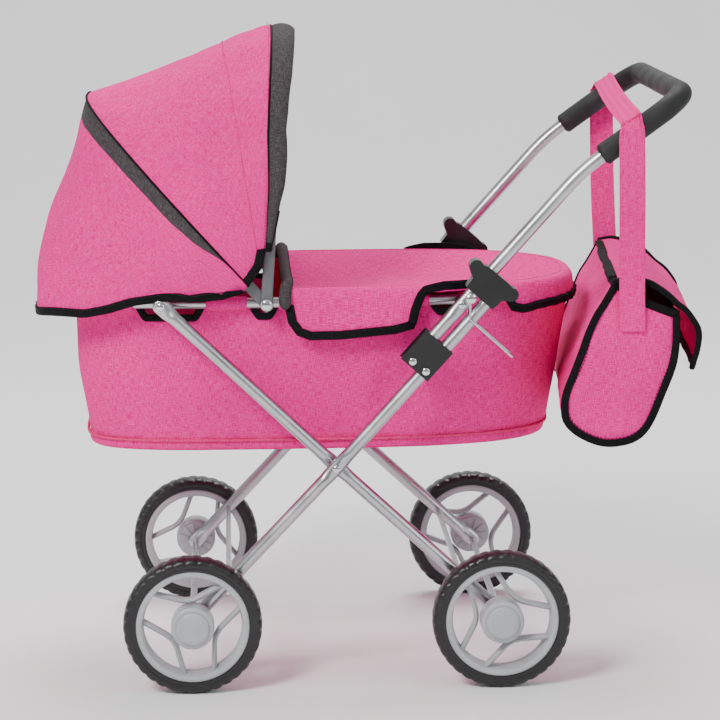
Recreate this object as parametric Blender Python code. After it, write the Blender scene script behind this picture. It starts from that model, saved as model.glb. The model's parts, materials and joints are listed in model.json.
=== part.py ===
"""A doll's pram: a carrycot with a folding hood, a boot cover and a hanging bag, on a steel tube
frame that folds as a four-bar linkage.

Metres, +Z up. The pram travels towards -X and is pushed from the +X end. Its left side, as the
pusher sees it, is -Y. The origin is on the ground under the middle of the overall length.
Names of nodes use the pusher's left and right.
"""

import math

import bmesh
import bpy
from mathutils import Matrix, Vector

# Place of the middle of the wheelbase, from the middle of the overall length.
AXLES_MID_X = -0.0319

# Wheels and axles
WHEEL_RADIUS = 0.0625
WHEELBASE = 0.2784
WHEEL_Y = 0.16725
TYRE_WIDTH = 0.0235
RIM_RADIUS = 0.0511
RIM_INNER_RADIUS = 0.0445
HUB_RADIUS = 0.0195
HUB_CAP_RADIUS = 0.0150
SPOKE_WIDTH = 0.0055
SPOKE_DEPTH = 0.0100
SPOKE_HALF_ANGLE = math.radians(43)
AXLE_RADIUS = 0.0030
CROSS_ROD_RADIUS = 0.0025
CROSS_ROD_UP_LEG = 0.0480

# Frame tubes: radius, and distance of each plane of tubes from the middle
TUBE_RADIUS = 0.0060
RAIL_RADIUS = 0.0050
RAIL_Y = 0.1245
REAR_LEG_Y = 0.1365
FRONT_LEG_Y = 0.1490
RIVET_RADIUS = 0.0023
RIVET_HEAD_RADIUS = 0.0036
GAP = 0.0003

# Carrycot
COT_BOTTOM_Z = 0.2075
COT_TOP_Z = 0.3410
COT_WALL = 0.0030
RAIL_Z = 0.3472
COT_HALF_WIDTH = 0.1235
COT_HEAD_X = -0.2455
COT_FOOT_X = 0.2175
COT_BOTTOM_HALF_WIDTH = 0.1050
COT_BOTTOM_HEAD_X = -0.2335
COT_BOTTOM_FOOT_X = 0.1933

# Hood
HOOD_HALF_WIDTH = 0.1415
HOOD_RADIUS = 0.2410
HOOD_FRONT_ANGLE = math.radians(86.2)
HOOD_REAR_ANGLE = math.radians(133.0)
HOOD_CLOTH = 0.0020
BOW_WIDTH = 0.0100
BOW_THICKNESS = 0.0026
FRONT_BOW_Y = 0.1363
REAR_BOW_Y = 0.1330
HOOP_POWER = 2.0 / 3.0

# Handle
HANDLE_ANGLE = math.radians(47.9)
GRIP_ANGLE = math.radians(35.6)
GRIP_RADIUS = 0.0100
GRIP_BORE = 0.0063
HANDLE_CORNER = 0.0300

# Bag
BAG_HALF_LENGTH = 0.1400
BAG_RADIUS = 0.0435
BAG_WALL = 0.0030
BAG_LEAN = math.radians(17)
BAG_SKEW = 0.080
STRAP_WIDTH = 0.0235
STRAP_CLOTH = 0.0015


def place(x, z, y=0.0):
    """A point whose x is counted from the middle between the axles."""
    return Vector((x + AXLES_MID_X, y, z))


FRONT_AXLE = place(-WHEELBASE / 2, WHEEL_RADIUS)
REAR_AXLE = place(WHEELBASE / 2, WHEEL_RADIUS)
LEG_CROSSING = place(-0.0082, 0.1998)
FRONT_PIVOT = place(-0.1630, RAIL_Z)
REAR_PIVOT = place(0.1053, RAIL_Z)
BRACKET_PIVOT = place(0.0607, 0.2976)
HOOD_PIVOT = place(-0.0686, RAIL_Z)
CROSSBAR = place(0.3041, 0.5314)
BAG_BASE = place(0.2420, 0.2565)

ALONG_HANDLE = Vector((math.cos(HANDLE_ANGLE), 0, math.sin(HANDLE_ANGLE)))
ACROSS_HANDLE = Vector((-math.sin(HANDLE_ANGLE), 0, math.cos(HANDLE_ANGLE)))
BAIL_PIVOT = BRACKET_PIVOT + ALONG_HANDLE * 0.0765 - ACROSS_HANDLE * 0.0010
LATERAL = Vector((0, 1, 0))

# Colour, roughness and metallic value of each material
PINK = ((0.76, 0.075, 0.27), 0.85, 0.0)
CHARCOAL = ((0.10, 0.09, 0.095), 0.85, 0.0)
SILVER = ((0.62, 0.63, 0.65), 0.32, 1.0)
CHROME = ((0.80, 0.80, 0.82), 0.12, 1.0)
BLACK = ((0.018, 0.018, 0.020), 0.45, 0.0)
FOAM = ((0.022, 0.022, 0.024), 0.80, 0.0)
RUBBER = ((0.020, 0.019, 0.020), 0.55, 0.0)
WHEEL_GREY = ((0.50, 0.52, 0.54), 0.42, 0.0)
BOW_GREY = ((0.14, 0.14, 0.15), 0.50, 0.0)
BOARD = ((0.30, 0.24, 0.17), 0.80, 0.0)


# ---------------------------------------------------------------- helpers


def clear_scene():
    for obj in list(bpy.data.objects):
        bpy.data.objects.remove(obj)


def material(name, look):
    colour, roughness, metallic = look
    made = bpy.data.materials.new(name)
    made.use_nodes = True
    shader = made.node_tree.nodes["Principled BSDF"]
    shader.inputs["Base Color"].default_value = (*colour, 1)
    shader.inputs["Roughness"].default_value = roughness
    shader.inputs["Metallic"].default_value = metallic
    made.diffuse_color = (*colour, 1)
    return made


def axis_empty(name, location, parent=None):
    """An empty on a joint's axis, which the pieces that turn or slide there are parented to."""
    empty = bpy.data.objects.new(name, None)
    empty.location = location
    empty.empty_display_size = 0.02
    bpy.context.scene.collection.objects.link(empty)
    bpy.context.view_layer.update()
    if parent is not None:
        ride(empty, parent)
    return empty


def ride(obj, parent):
    """Parents obj and leaves it where it is."""
    obj.parent = parent
    obj.matrix_parent_inverse = parent.matrix_world.inverted()
    bpy.context.view_layer.update()


def add_object(name, bm, look, parent=None):
    """A new object from a bmesh in world coordinates, with its origin at its parent's."""
    bmesh.ops.recalc_face_normals(bm, faces=bm.faces)
    mesh = bpy.data.meshes.new(name)
    origin = parent.matrix_world.translation if parent is not None else Vector((0, 0, 0))
    bmesh.ops.translate(bm, verts=bm.verts, vec=-origin)
    bm.to_mesh(mesh)
    bm.free()
    obj = bpy.data.objects.new(name, mesh)
    obj.location = origin
    bpy.context.scene.collection.objects.link(obj)
    if look is not None:
        mesh.materials.append(material(name, look))
    mesh.shade_smooth()
    mesh.set_sharp_from_angle(angle=math.radians(35))
    bpy.context.view_layer.update()
    if parent is not None:
        ride(obj, parent)
    return obj


def as_cutter(obj):
    obj.hide_render = True
    obj.display_type = "WIRE"
    return obj


def boolean(obj, other, operation):
    modifier = obj.modifiers.new(operation.lower() + " " + other.name, "BOOLEAN")
    modifier.operation = operation
    modifier.object = as_cutter(other)


def cut(obj, *cutters):
    for cutter in cutters:
        boolean(obj, cutter, "DIFFERENCE")


def join_rings(bm, rings, closed):
    """Quads between rings of vertices, each ring closed on itself."""
    pairs = list(zip(rings, rings[1:]))
    if closed:
        pairs.append((rings[-1], rings[0]))
    for lower, upper in pairs:
        count = len(lower)
        for i in range(count):
            j = (i + 1) % count
            bm.faces.new((lower[i], lower[j], upper[j], upper[i]))


def ring_frames(points, lateral, closed):
    """For each point of a path, the directions across it: one in the path's plane, one lateral."""
    count = len(points)
    frames = []
    side = lateral.normalized()
    for i in range(count):
        before = points[i - 1] if i > 0 or closed else points[i]
        after = points[(i + 1) % count] if i < count - 1 or closed else points[i]
        along = (after - before).normalized()
        side = (side - along * side.dot(along)).normalized()
        frames.append((side.cross(along), side))
    return frames


def round_section(across, lateral, sides):
    turns = [2 * math.pi * (i + 0.5) / sides for i in range(sides)]
    return [(across * math.cos(a), lateral * math.sin(a)) for a in turns]


def sweep(points, sections, lateral=LATERAL, closed=False):
    """A bmesh solid that carries a section along a path. sections has one outline per point."""
    bm = bmesh.new()
    rings = []
    for point, section, (across, side) in zip(points, sections, ring_frames(points, lateral, closed)):
        rings.append([bm.verts.new(point + across * a + side * b) for a, b in section])
    join_rings(bm, rings, closed)
    if not closed:
        bm.faces.new(rings[0])
        bm.faces.new(rings[-1])
    return bm


def tube(name, points, radius, look, parent=None, sides=10, lateral=LATERAL, closed=False):
    section = round_section(radius, radius, sides)
    return add_object(name, sweep(points, [section] * len(points), lateral, closed), look, parent)


def turned(name, outline, centre, look, parent=None, sides=24):
    """A solid turned about the Y axis through centre, from an outline of (radius, y)."""
    bm = bmesh.new()
    outline_verts = [bm.verts.new((centre.x + radius, y, centre.z)) for radius, y in outline]
    edges = [bm.edges.new(pair) for pair in zip(outline_verts, outline_verts[1:])]
    if outline[0][0] > 0 or outline[-1][0] > 0:
        edges.append(bm.edges.new((outline_verts[-1], outline_verts[0])))
    bmesh.ops.spin(
        bm,
        geom=outline_verts + edges,
        cent=(centre.x, 0, centre.z),
        axis=(0, 1, 0),
        angle=2 * math.pi,
        steps=sides,
        use_merge=True,
    )
    bmesh.ops.remove_doubles(bm, verts=bm.verts, dist=1e-6)
    return add_object(name, bm, look, parent)


def peg_cutter(name, radius, centre, y_from, y_to, sides=16):
    outline = [(0, y_from), (radius, y_from), (radius, y_to), (0, y_to)]
    return as_cutter(turned(name, outline, centre, None, sides=sides))


def prism(name, corners, y_from, y_to, look, parent=None):
    """A plate with the given corners, (x, z) vectors in world coordinates, between two y."""
    bm = bmesh.new()
    face = bm.faces.new([bm.verts.new((corner.x, y_from, corner.z)) for corner in corners])
    made = bmesh.ops.extrude_face_region(bm, geom=[face])
    moved = [item for item in made["geom"] if isinstance(item, bmesh.types.BMVert)]
    bmesh.ops.translate(bm, verts=moved, vec=(0, y_to - y_from, 0))
    return add_object(name, bm, look, parent)


def box_along(name, centre, axes, sizes):
    """A cutter box with the given axis directions and full sizes."""
    bm = bmesh.new()
    bmesh.ops.create_cube(bm, size=1)
    turn = Matrix((axes[0], axes[1], axes[2])).transposed().to_4x4()
    turn = Matrix.Translation(centre) @ turn @ Matrix.Diagonal((*sizes, 1))
    bmesh.ops.transform(bm, matrix=turn, verts=bm.verts)
    return as_cutter(add_object(name, bm, None))


def sheet(name, rows, thickness, look, parent=None, offset=-1.0, towards=None):
    """A grid of points made into a skin by a Solidify. towards is a point on its outer side."""
    bm = bmesh.new()
    grid = [[bm.verts.new(point) for point in row] for row in rows]
    for row, following in zip(grid, grid[1:]):
        for i in range(len(row) - 1):
            bm.faces.new((row[i], row[i + 1], following[i + 1], following[i]))
    bmesh.ops.remove_doubles(bm, verts=bm.verts, dist=1e-5)
    obj = add_object(name, bm, look, parent)
    largest = max(obj.data.polygons, key=lambda polygon: polygon.area)
    centre = obj.matrix_world @ largest.center
    if towards is not None and (towards - centre).dot(largest.normal) < 0:
        obj.data.flip_normals()
    solid = obj.modifiers.new("cloth thickness", "SOLIDIFY")
    solid.thickness = thickness
    solid.offset = offset
    return obj


def arc(centre, first, second, radius, start, end, steps):
    """Points on an arc in the plane of two unit directions, between two angles."""
    points = []
    for i in range(steps + 1):
        angle = start + (end - start) * i / steps
        points.append(centre + first * (radius * math.cos(angle)) + second * (radius * math.sin(angle)))
    return points


def blend(a, b, t):
    return a + (b - a) * t


def side_name(name, side):
    return name + ("_left" if side < 0 else "_right")


# ---------------------------------------------------------------- wheels


def rim_mesh():
    """The wheel's rim, its hub and three V-shaped spokes as one mesh about the origin, outer face +Y."""
    centre = Vector((0, 0, 0))
    rim_outline = [
        (RIM_INNER_RADIUS, -0.0105),
        (RIM_INNER_RADIUS + 0.0010, 0.0105),
        (RIM_RADIUS, 0.0105),
        (RIM_RADIUS, -0.0105),
    ]
    hub_outline = [
        (AXLE_RADIUS + GAP, -0.0112),
        (HUB_RADIUS, -0.0112),
        (HUB_RADIUS, 0.0150),
        (HUB_RADIUS - 0.0015, 0.0165),
        (AXLE_RADIUS + GAP, 0.0165),
    ]
    rim = turned("wheel_master", rim_outline, centre, WHEEL_GREY, sides=36)
    hub = turned("hub_master", hub_outline, centre, None, sides=20)
    boolean(rim, hub, "UNION")
    for third in range(3):
        middle = math.radians(97 + 120 * third)
        boolean(rim, spoke_pair("spokes_" + str(third), middle), "UNION")
    graph = bpy.context.evaluated_depsgraph_get()
    mesh = bpy.data.meshes.new_from_object(rim.evaluated_get(graph))
    mesh.shade_smooth()
    mesh.set_sharp_from_angle(angle=math.radians(35))
    for helper in [obj for obj in bpy.data.objects if obj.name.startswith(("wheel_master", "hub_master", "spokes_"))]:
        bpy.data.objects.remove(helper)
    return mesh


def spoke_pair(name, middle):
    """Two arms from one point on the hub to the rim, as a thick V."""
    tip = HUB_RADIUS + 0.0010
    reach = RIM_INNER_RADIUS + 0.0025
    half = SPOKE_WIDTH / 2

    def polar(radius, angle):
        return Vector((radius * math.cos(angle), 0, radius * math.sin(angle)))

    ends = [polar(reach, middle + sign * SPOKE_HALF_ANGLE) for sign in (-1, 1)]
    apex = polar(tip, middle)
    outward = polar(1, middle)
    corners = []
    for end in ends:
        along = (end - apex).normalized()
        across = Vector((-along.z, 0, along.x))
        if across.dot(outward) < 0:
            across = -across
        corners.append((end + across * half, end - across * half))
    slope = (ends[0] - apex).normalized().dot(outward)
    mitre = half / math.sqrt(1 - slope * slope)
    outline = [corners[0][1], corners[0][0], apex + outward * mitre, corners[1][0], corners[1][1], apex - outward * mitre]
    return as_cutter(prism(name, outline, -SPOKE_DEPTH / 2 + 0.001, SPOKE_DEPTH / 2 + 0.001, None))


def make_wheel(end, axle, side, mesh, spin, parent):
    """A wheel on one end of an axle: rim with spokes, tyre and hub cap, and the empty they turn on."""
    name = side_name(end, side)
    hub_centre = Vector((axle.x, side * WHEEL_Y, axle.z))
    turns = axis_empty("axis_wheel_" + name, hub_centre, parent)
    wheel = bpy.data.objects.new("wheel_" + name, mesh)
    facing = Matrix.Identity(4) if side > 0 else Matrix.Rotation(math.pi, 4, "Z")
    wheel.matrix_world = Matrix.Translation(hub_centre) @ Matrix.Rotation(spin, 4, "Y") @ facing
    bpy.context.scene.collection.objects.link(wheel)
    bpy.context.view_layer.update()
    ride(wheel, turns)
    half = TYRE_WIDTH / 2
    seat = RIM_RADIUS + GAP
    tyre_outline = [
        (seat, -half),
        (WHEEL_RADIUS - 0.0035, -half + 0.0004),
        (WHEEL_RADIUS, -half + 0.0040),
        (WHEEL_RADIUS, half - 0.0040),
        (WHEEL_RADIUS - 0.0035, half - 0.0004),
        (seat, half),
    ]
    outline = [(radius, side * WHEEL_Y + y) for radius, y in tyre_outline]
    turned("tyre_" + name, outline, hub_centre, RUBBER, turns, sides=40)
    cap_outline = [(0, 0.0168), (HUB_CAP_RADIUS, 0.0168), (HUB_CAP_RADIUS, 0.0186), (HUB_CAP_RADIUS - 0.0014, 0.0198), (0, 0.0198)]
    outline = [(radius, side * (WHEEL_Y + y)) for radius, y in cap_outline]
    turned("hub_cap_" + name, outline, hub_centre, WHEEL_GREY, turns, sides=20)


def make_axle(name, axle, parent):
    reach = WHEEL_Y + 0.0155
    tube(name, [Vector((axle.x, -reach, axle.z)), Vector((axle.x, reach, axle.z))], AXLE_RADIUS, SILVER, parent, lateral=Vector((1, 0, 0)))


def make_cross_rod(name, centre, reach, parent):
    ends = [Vector((centre.x, y, centre.z)) for y in (-reach, reach)]
    tube(name, ends, CROSS_ROD_RADIUS, SILVER, parent, sides=10, lateral=Vector((1, 0, 0)))


# ---------------------------------------------------------------- frame


def leg_sections(points, flats):
    """Round tube sections that flatten sideways near each (point, in-plane, sideways) of flats."""
    sections = []
    for point in points:
        across, sideways = TUBE_RADIUS, TUBE_RADIUS
        for centre, flat_across, flat_sideways in flats:
            if (point - centre).length < 0.0115:
                across, sideways = flat_across, flat_sideways
        sections.append(round_section(across, sideways, 10))
    return sections


def on_plane(point, y):
    return Vector((point.x, y, point.z))


def leg_path(bottom, crossing, top, y, past_top):
    """The tube's centre line from just past the axle to past_top beyond its top point."""
    low = (bottom - crossing).normalized()
    high = (top - crossing).normalized()
    points = [bottom + low * 0.0075, bottom + low * 0.0055, bottom - low * 0.0110, bottom - low * 0.0180]
    points += [crossing + low * 0.0150, crossing + low * 0.0085, crossing, crossing + high * 0.0085, crossing + high * 0.0150]
    if past_top > 0.01:
        points += [top + high * past_top]
    else:
        points += [top - high * 0.0160, top - high * 0.0100, top + high * (past_top - 0.002), top + high * past_top]
    return [on_plane(point, y) for point in points]


def rounded_ends(points, sections, ends):
    """Narrows the sections at the path's very ends, for a rounded flattened tube end."""
    for index in ends:
        sections[index] = [(a * 0.62, b * 0.8) for a, b in sections[index]]
    return sections


def make_rear_leg(side, parent):
    y = side * REAR_LEG_Y
    points = leg_path(REAR_AXLE, LEG_CROSSING, FRONT_PIVOT, y, 0.0070)
    flats = [
        (on_plane(REAR_AXLE, y), 0.0076, 0.0033),
        (on_plane(LEG_CROSSING, y), 0.0064, 0.0048),
        (on_plane(FRONT_PIVOT, y), 0.0072, 0.0033),
    ]
    sections = rounded_ends(points, leg_sections(points, flats), (0, -1))
    leg = add_object(side_name("rear_leg", side), sweep(points, sections), SILVER, parent)
    low, high = side * REAR_LEG_Y - 0.01, side * REAR_LEG_Y + 0.01
    cut(
        leg,
        peg_cutter(side_name("rear_leg_axle_hole", side), AXLE_RADIUS + GAP, REAR_AXLE, low, high),
        peg_cutter(side_name("rear_leg_pivot_hole", side), RIVET_RADIUS + GAP, FRONT_PIVOT, low, high),
    )


def make_front_leg(side, parent):
    y = side * FRONT_LEG_Y
    upper = (front_leg_top() - LEG_CROSSING).normalized()
    points = leg_path(FRONT_AXLE, LEG_CROSSING, front_leg_top() - upper * 0.02, y, 0.02)
    flats = [
        (on_plane(FRONT_AXLE, y), 0.0076, 0.0033),
        (on_plane(LEG_CROSSING, y), 0.0064, 0.0048),
    ]
    sections = rounded_ends(points, leg_sections(points, flats), (0,))
    leg = add_object(side_name("front_leg", side), sweep(points, sections), SILVER, parent)
    low, high = side * FRONT_LEG_Y - 0.01, side * FRONT_LEG_Y + 0.01
    cut(
        leg,
        peg_cutter(side_name("front_leg_axle_hole", side), AXLE_RADIUS + GAP, FRONT_AXLE, low, high),
        peg_cutter(side_name("front_leg_crossing_hole", side), RIVET_RADIUS + GAP, LEG_CROSSING, low, high),
        peg_cutter(side_name("front_leg_bracket_hole", side), RIVET_RADIUS + GAP, bracket_rivet(), low, high),
    )


def front_leg_top():
    """The tube's end inside the latch's jaw: it clears the bail when the frame folds."""
    return BRACKET_PIVOT + ALONG_HANDLE * 0.0846 - ACROSS_HANDLE * 0.0153


def bracket_rivet():
    upper = (front_leg_top() - LEG_CROSSING).normalized()
    reach = (BRACKET_PIVOT - LEG_CROSSING).dot(upper) + 0.0010
    return LEG_CROSSING + upper * reach


def make_rivet(name, centre, side, y_from, y_to, look, parent, washer=None, inner_head=True):
    """A headed rivet from y_from to y_to (distances from the middle); its domed head is outside."""
    outline = []
    if inner_head:
        outline += [(0, y_from), (RIVET_HEAD_RADIUS, y_from), (RIVET_HEAD_RADIUS, y_from + 0.0012), (RIVET_RADIUS, y_from + 0.0012)]
    else:
        outline += [(0, y_from), (RIVET_RADIUS, y_from)]
    seat = y_to - 0.0022
    outline += [(RIVET_RADIUS, seat)]
    if washer is not None:
        outline += [(washer, seat), (washer, seat + 0.0008)]
    outline += [(RIVET_HEAD_RADIUS, seat + 0.0008), (RIVET_HEAD_RADIUS * 0.72, y_to - 0.0005), (0, y_to)]
    outline = [(radius, side * y) for radius, y in outline]
    return turned(side_name(name, side), outline, centre, look, parent, sides=12)


def handle_points(y_side):
    """One arm's centre line from its pivot end in the bracket to where the corner starts."""
    grip_along = Vector((math.cos(GRIP_ANGLE), 0, math.sin(GRIP_ANGLE)))
    # The two straight runs meet here, and a soft bend joins them.
    reach = CROSSBAR - BRACKET_PIVOT
    cross = ALONG_HANDLE.x * grip_along.z - ALONG_HANDLE.z * grip_along.x
    meet = BRACKET_PIVOT + ALONG_HANDLE * ((reach.x * grip_along.z - reach.z * grip_along.x) / cross)
    bend = 0.022
    points = [BRACKET_PIVOT + ALONG_HANDLE * s for s in (-0.0045, -0.0028, 0.0085, 0.0150, 0.0560, 0.0600, 0.0800, 0.0812)]
    start = meet - ALONG_HANDLE * bend
    end = meet + grip_along * bend
    for step in range(5):
        t = step / 4
        points.append(blend(blend(start, meet, t), blend(meet, end, t), t))
    points.append(CROSSBAR - grip_along * HANDLE_CORNER)
    return [on_plane(point, y_side) for point in points], grip_along


def handle_path():
    """The whole U of the handle from the left arm's lower end to the right arm's."""
    left, along = handle_points(-FRONT_LEG_Y)
    right, _ = handle_points(FRONT_LEG_Y)
    corner_in = FRONT_LEG_Y - HANDLE_CORNER
    base = CROSSBAR - along * HANDLE_CORNER
    corner_left = arc(on_plane(base, -corner_in), -LATERAL, along, HANDLE_CORNER, 0, math.pi / 2, 5)
    corner_right = arc(on_plane(base, corner_in), along, LATERAL, HANDLE_CORNER, 0, math.pi / 2, 5)
    return left + corner_left[1:] + corner_right[:-1] + list(reversed(right))


def make_handle(parent):
    points = handle_path()
    pins = [(BRACKET_PIVOT, 0.0052, 0.0048), (REAR_PIVOT, 0.0060, 0.0048), (BAIL_PIVOT, 0.0060, 0.0048)]
    flat = []
    for side in (-1, 1):
        flat += [(on_plane(centre, side * FRONT_LEG_Y), across, sideways) for centre, across, sideways in pins]
    sections = rounded_ends(points, leg_sections(points, flat), (0, -1))
    handle = add_object("handle_tube", sweep(points, sections), SILVER, parent)
    cutters = []
    for side in (-1, 1):
        low, high = side * FRONT_LEG_Y - 0.01, side * FRONT_LEG_Y + 0.01
        for label, centre in (("bracket", BRACKET_PIVOT), ("rail", REAR_PIVOT)):
            cutters.append(peg_cutter(side_name("handle_hole_" + label, side), RIVET_RADIUS + GAP, centre, low, high))
    cutters.append(peg_cutter("handle_hole_bail", 0.0022, BAIL_PIVOT, -FRONT_LEG_Y - 0.01, -FRONT_LEG_Y + 0.01))
    cut(handle, *cutters)
    return handle


def make_grip(parent):
    """The foam sleeve over the handle's arms and crossbar, with its bore."""
    points = handle_path()
    lowest = place(0.2290, 0).x
    kept = [point for point in points if point.x > lowest + 0.004]
    along = Vector((math.cos(GRIP_ANGLE), 0, math.sin(GRIP_ANGLE)))
    for index in (0, -1):
        back = (kept[index].x - lowest) / along.x
        end = kept[index] - along * back
        kept.insert(0 if index == 0 else len(kept), end)
    bm = bmesh.new()
    frames = ring_frames(kept, LATERAL, False)
    shells = []
    for radius in (GRIP_RADIUS, GRIP_BORE):
        section = round_section(radius, radius, 10)
        rings = []
        for point, (across, side) in zip(kept, frames):
            rings.append([bm.verts.new(point + across * a + side * b) for a, b in section])
        join_rings(bm, rings, False)
        shells.append(rings)
    for end in (0, -1):
        join_rings(bm, [shells[0][end], shells[1][end]], False)
    add_object("handle_grip", bm, FOAM, parent)


def local_corners(pairs):
    """Corners given as (along, across) the handle from the bracket pivot."""
    return [BRACKET_PIVOT + ALONG_HANDLE * along + ACROSS_HANDLE * across for along, across in pairs]


def make_bracket(side, parent):
    """The block that is riveted to the front leg and carries the handle's lower end in a slot."""
    half = 0.0085
    corners = [(-0.0050, -0.0222), (0.0290, -0.0222), (0.0290, 0.0095), (-0.0050, 0.0095)]
    y = side * FRONT_LEG_Y
    bracket = prism(side_name("fold_bracket", side), local_corners(corners), y - half, y + half, BLACK, parent)
    axes = (ALONG_HANDLE, LATERAL, ACROSS_HANDLE)
    slot_centre = on_plane(local_corners([(0.0120, 0.0125)])[0], y)
    slot = box_along(side_name("bracket_slot", side), slot_centre, axes, (0.0600, 0.0126, 0.0400))
    upper = (front_leg_top() - LEG_CROSSING).normalized()
    middle = on_plane(bracket_rivet(), y)
    bore = tube(side_name("bracket_bore", side), [middle - upper * 0.03, middle + upper * 0.05], TUBE_RADIUS + GAP, None, sides=12)
    holes = [
        peg_cutter(side_name("bracket_hole_" + label, side), RIVET_RADIUS + GAP, centre, y - 0.02, y + 0.02)
        for label, centre in (("pivot", BRACKET_PIVOT), ("fixing", bracket_rivet()))
    ]
    cut(bracket, slot, as_cutter(bore), *holes)


def latch_outline():
    """The latch seen from the side: a body with a rounded finger wing at each upper corner."""
    left = arc(Vector((0.1010, 0, 0.0140)), Vector((1, 0, 0)), Vector((0, 0, 1)), 0.0062, math.radians(150), math.radians(-35), 6)
    right = arc(Vector((0.1030, 0, -0.0265)), Vector((1, 0, 0)), Vector((0, 0, 1)), 0.0062, math.radians(35), math.radians(-150), 6)
    pairs = [(0.0815, -0.0222), (0.0815, 0.0088), (0.0915, 0.0098)]
    pairs += [(point.x, point.z) for point in left]
    pairs += [(0.1080, 0.0050), (0.1085, -0.0180)]
    pairs += [(point.x, point.z) for point in right]
    pairs += [(0.0930, -0.0235)]
    return local_corners(pairs)


def make_latch(side, parent):
    """The sliding lock: it rides the handle, and its jaw holds the front leg's upper end."""
    half = 0.0085
    y = side * FRONT_LEG_Y
    latch = prism(side_name("slide_latch", side), latch_outline(), y - half, y + half, BLACK, parent)
    start = on_plane(local_corners([(0.0700, 0)])[0], y)
    bore = tube(side_name("latch_bore", side), [start, start + ALONG_HANDLE * 0.06], TUBE_RADIUS + GAP, None, sides=12)
    jaw_centre = on_plane(local_corners([(0.0685, -0.0287)])[0], y)
    jaw = box_along(side_name("latch_jaw", side), jaw_centre, (ALONG_HANDLE, LATERAL, ACROSS_HANDLE), (0.0400, 0.0126, 0.0400))
    cut(latch, as_cutter(bore), jaw)


def make_bail(parent):
    """The wire safety catch on the left side: two arms either side of the leg, with an eye on each."""
    wire = 0.0011
    eye = 0.0034
    outer = -(FRONT_LEG_Y + 0.0098)
    inner = -(FRONT_LEG_Y - 0.0098)
    bend = place(0.1118, 0.3345)
    end = place(0.1497, 0.3003)
    points = arc(on_plane(BAIL_PIVOT, outer), Vector((1, 0, 0)), Vector((0, 0, 1)), eye, math.radians(200), math.radians(-100), 8)
    arm = [blend(on_plane(BAIL_PIVOT, outer), on_plane(bend, outer), 0.45), on_plane(bend, outer), on_plane(end, outer)]
    lower = [on_plane(end, blend(outer, inner, t)) for t in (0.12, 0.5, 0.88)]
    back = [on_plane(end, inner), on_plane(bend, inner), blend(on_plane(BAIL_PIVOT, inner), on_plane(bend, inner), 0.45)]
    eye_back = arc(on_plane(BAIL_PIVOT, inner), Vector((1, 0, 0)), Vector((0, 0, 1)), eye, math.radians(-100), math.radians(200), 8)
    path = points + arm + lower + back + eye_back
    tube("wire_bail", path, wire, CHROME, parent, sides=8)


def make_bail_rivet(parent):
    inner, outer = FRONT_LEG_Y - 0.0122, FRONT_LEG_Y + 0.0128
    outline = [
        (0, inner),
        (0.0030, inner),
        (0.0030, inner + 0.0009),
        (0.0018, inner + 0.0009),
        (0.0018, outer - 0.0016),
        (0.0044, outer - 0.0016),
        (0.0044, outer - 0.0008),
        (0.0030, outer),
        (0, outer + 0.0006),
    ]
    outline = [(radius, -y) for radius, y in outline]
    turned("bail_rivet", outline, BAIL_PIVOT, CHROME, parent, sides=12)


# ---------------------------------------------------------------- carrycot


def oval(head_x, foot_x, half_width, z, count=36):
    """The carrycot's plan: a squarish head end and a tapered round foot end."""
    points = []
    for i in range(count):
        turn = 2 * math.pi * i / count
        along, across = math.cos(turn), math.sin(turn)
        power = 2 / 2.7 if along > 0 else 2 / 4.6
        reach = foot_x if along > 0 else -head_x
        x = math.copysign(reach * abs(along) ** power, along)
        y = math.copysign(half_width * abs(across) ** power, across)
        points.append(place(x, z, y))
    return points


def cot_ring(level, inset):
    """The carrycot's outline at a level from 0, the bottom, to 1, the top, moved inwards by inset."""
    head = blend(COT_BOTTOM_HEAD_X, COT_HEAD_X, level) + inset
    foot = blend(COT_BOTTOM_FOOT_X, COT_FOOT_X, level) - inset
    half_width = blend(COT_BOTTOM_HALF_WIDTH, COT_HALF_WIDTH, level) - inset
    return oval(head, foot, half_width, blend(COT_BOTTOM_Z, COT_TOP_Z, level))


def loft(name, outlines, look, parent=None):
    """A solid through a stack of outlines with the same number of points, capped at both ends."""
    bm = bmesh.new()
    rings = [[bm.verts.new(point) for point in outline] for outline in outlines]
    join_rings(bm, rings, False)
    bm.faces.new(rings[0])
    bm.faces.new(rings[-1])
    return add_object(name, bm, look, parent)


def make_cot():
    height = COT_TOP_Z - COT_BOTTOM_Z
    floor = 0.0028 / height
    outer = [cot_ring(0, 0.004), cot_ring(0.04, 0), cot_ring(0.5, 0), cot_ring(1, 0)]
    inner = [cot_ring(1, COT_WALL), cot_ring(0.5, COT_WALL), cot_ring(floor, COT_WALL)]
    loft("cot_body", outer + inner, PINK)
    board_low = (0.0028 + GAP) / height
    board_high = (0.0028 + GAP + 0.0030) / height
    loft("base_board", [cot_ring(board_low, 0.0060), cot_ring(board_high, 0.0060)], BOARD)


def make_rail():
    path = oval(COT_HEAD_X + 0.0020, COT_FOOT_X - 0.0060, RAIL_Y, RAIL_Z, count=38)
    tube("cot_rail", path, RAIL_RADIUS, SILVER, sides=8, lateral=Vector((0, 0, 1)), closed=True)


def apron_hem(x):
    """Height of the boot cover's hem: low at the sides, cut away where the frame meets the rail."""
    if x < 0.062:
        return 0.3110
    if x < 0.082:
        return blend(0.3110, 0.3555, (x - 0.062) / 0.020)
    if x < 0.142:
        return 0.3555
    if x < 0.160:
        return blend(0.3555, 0.3240, (x - 0.142) / 0.018)
    return 0.3240


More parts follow.
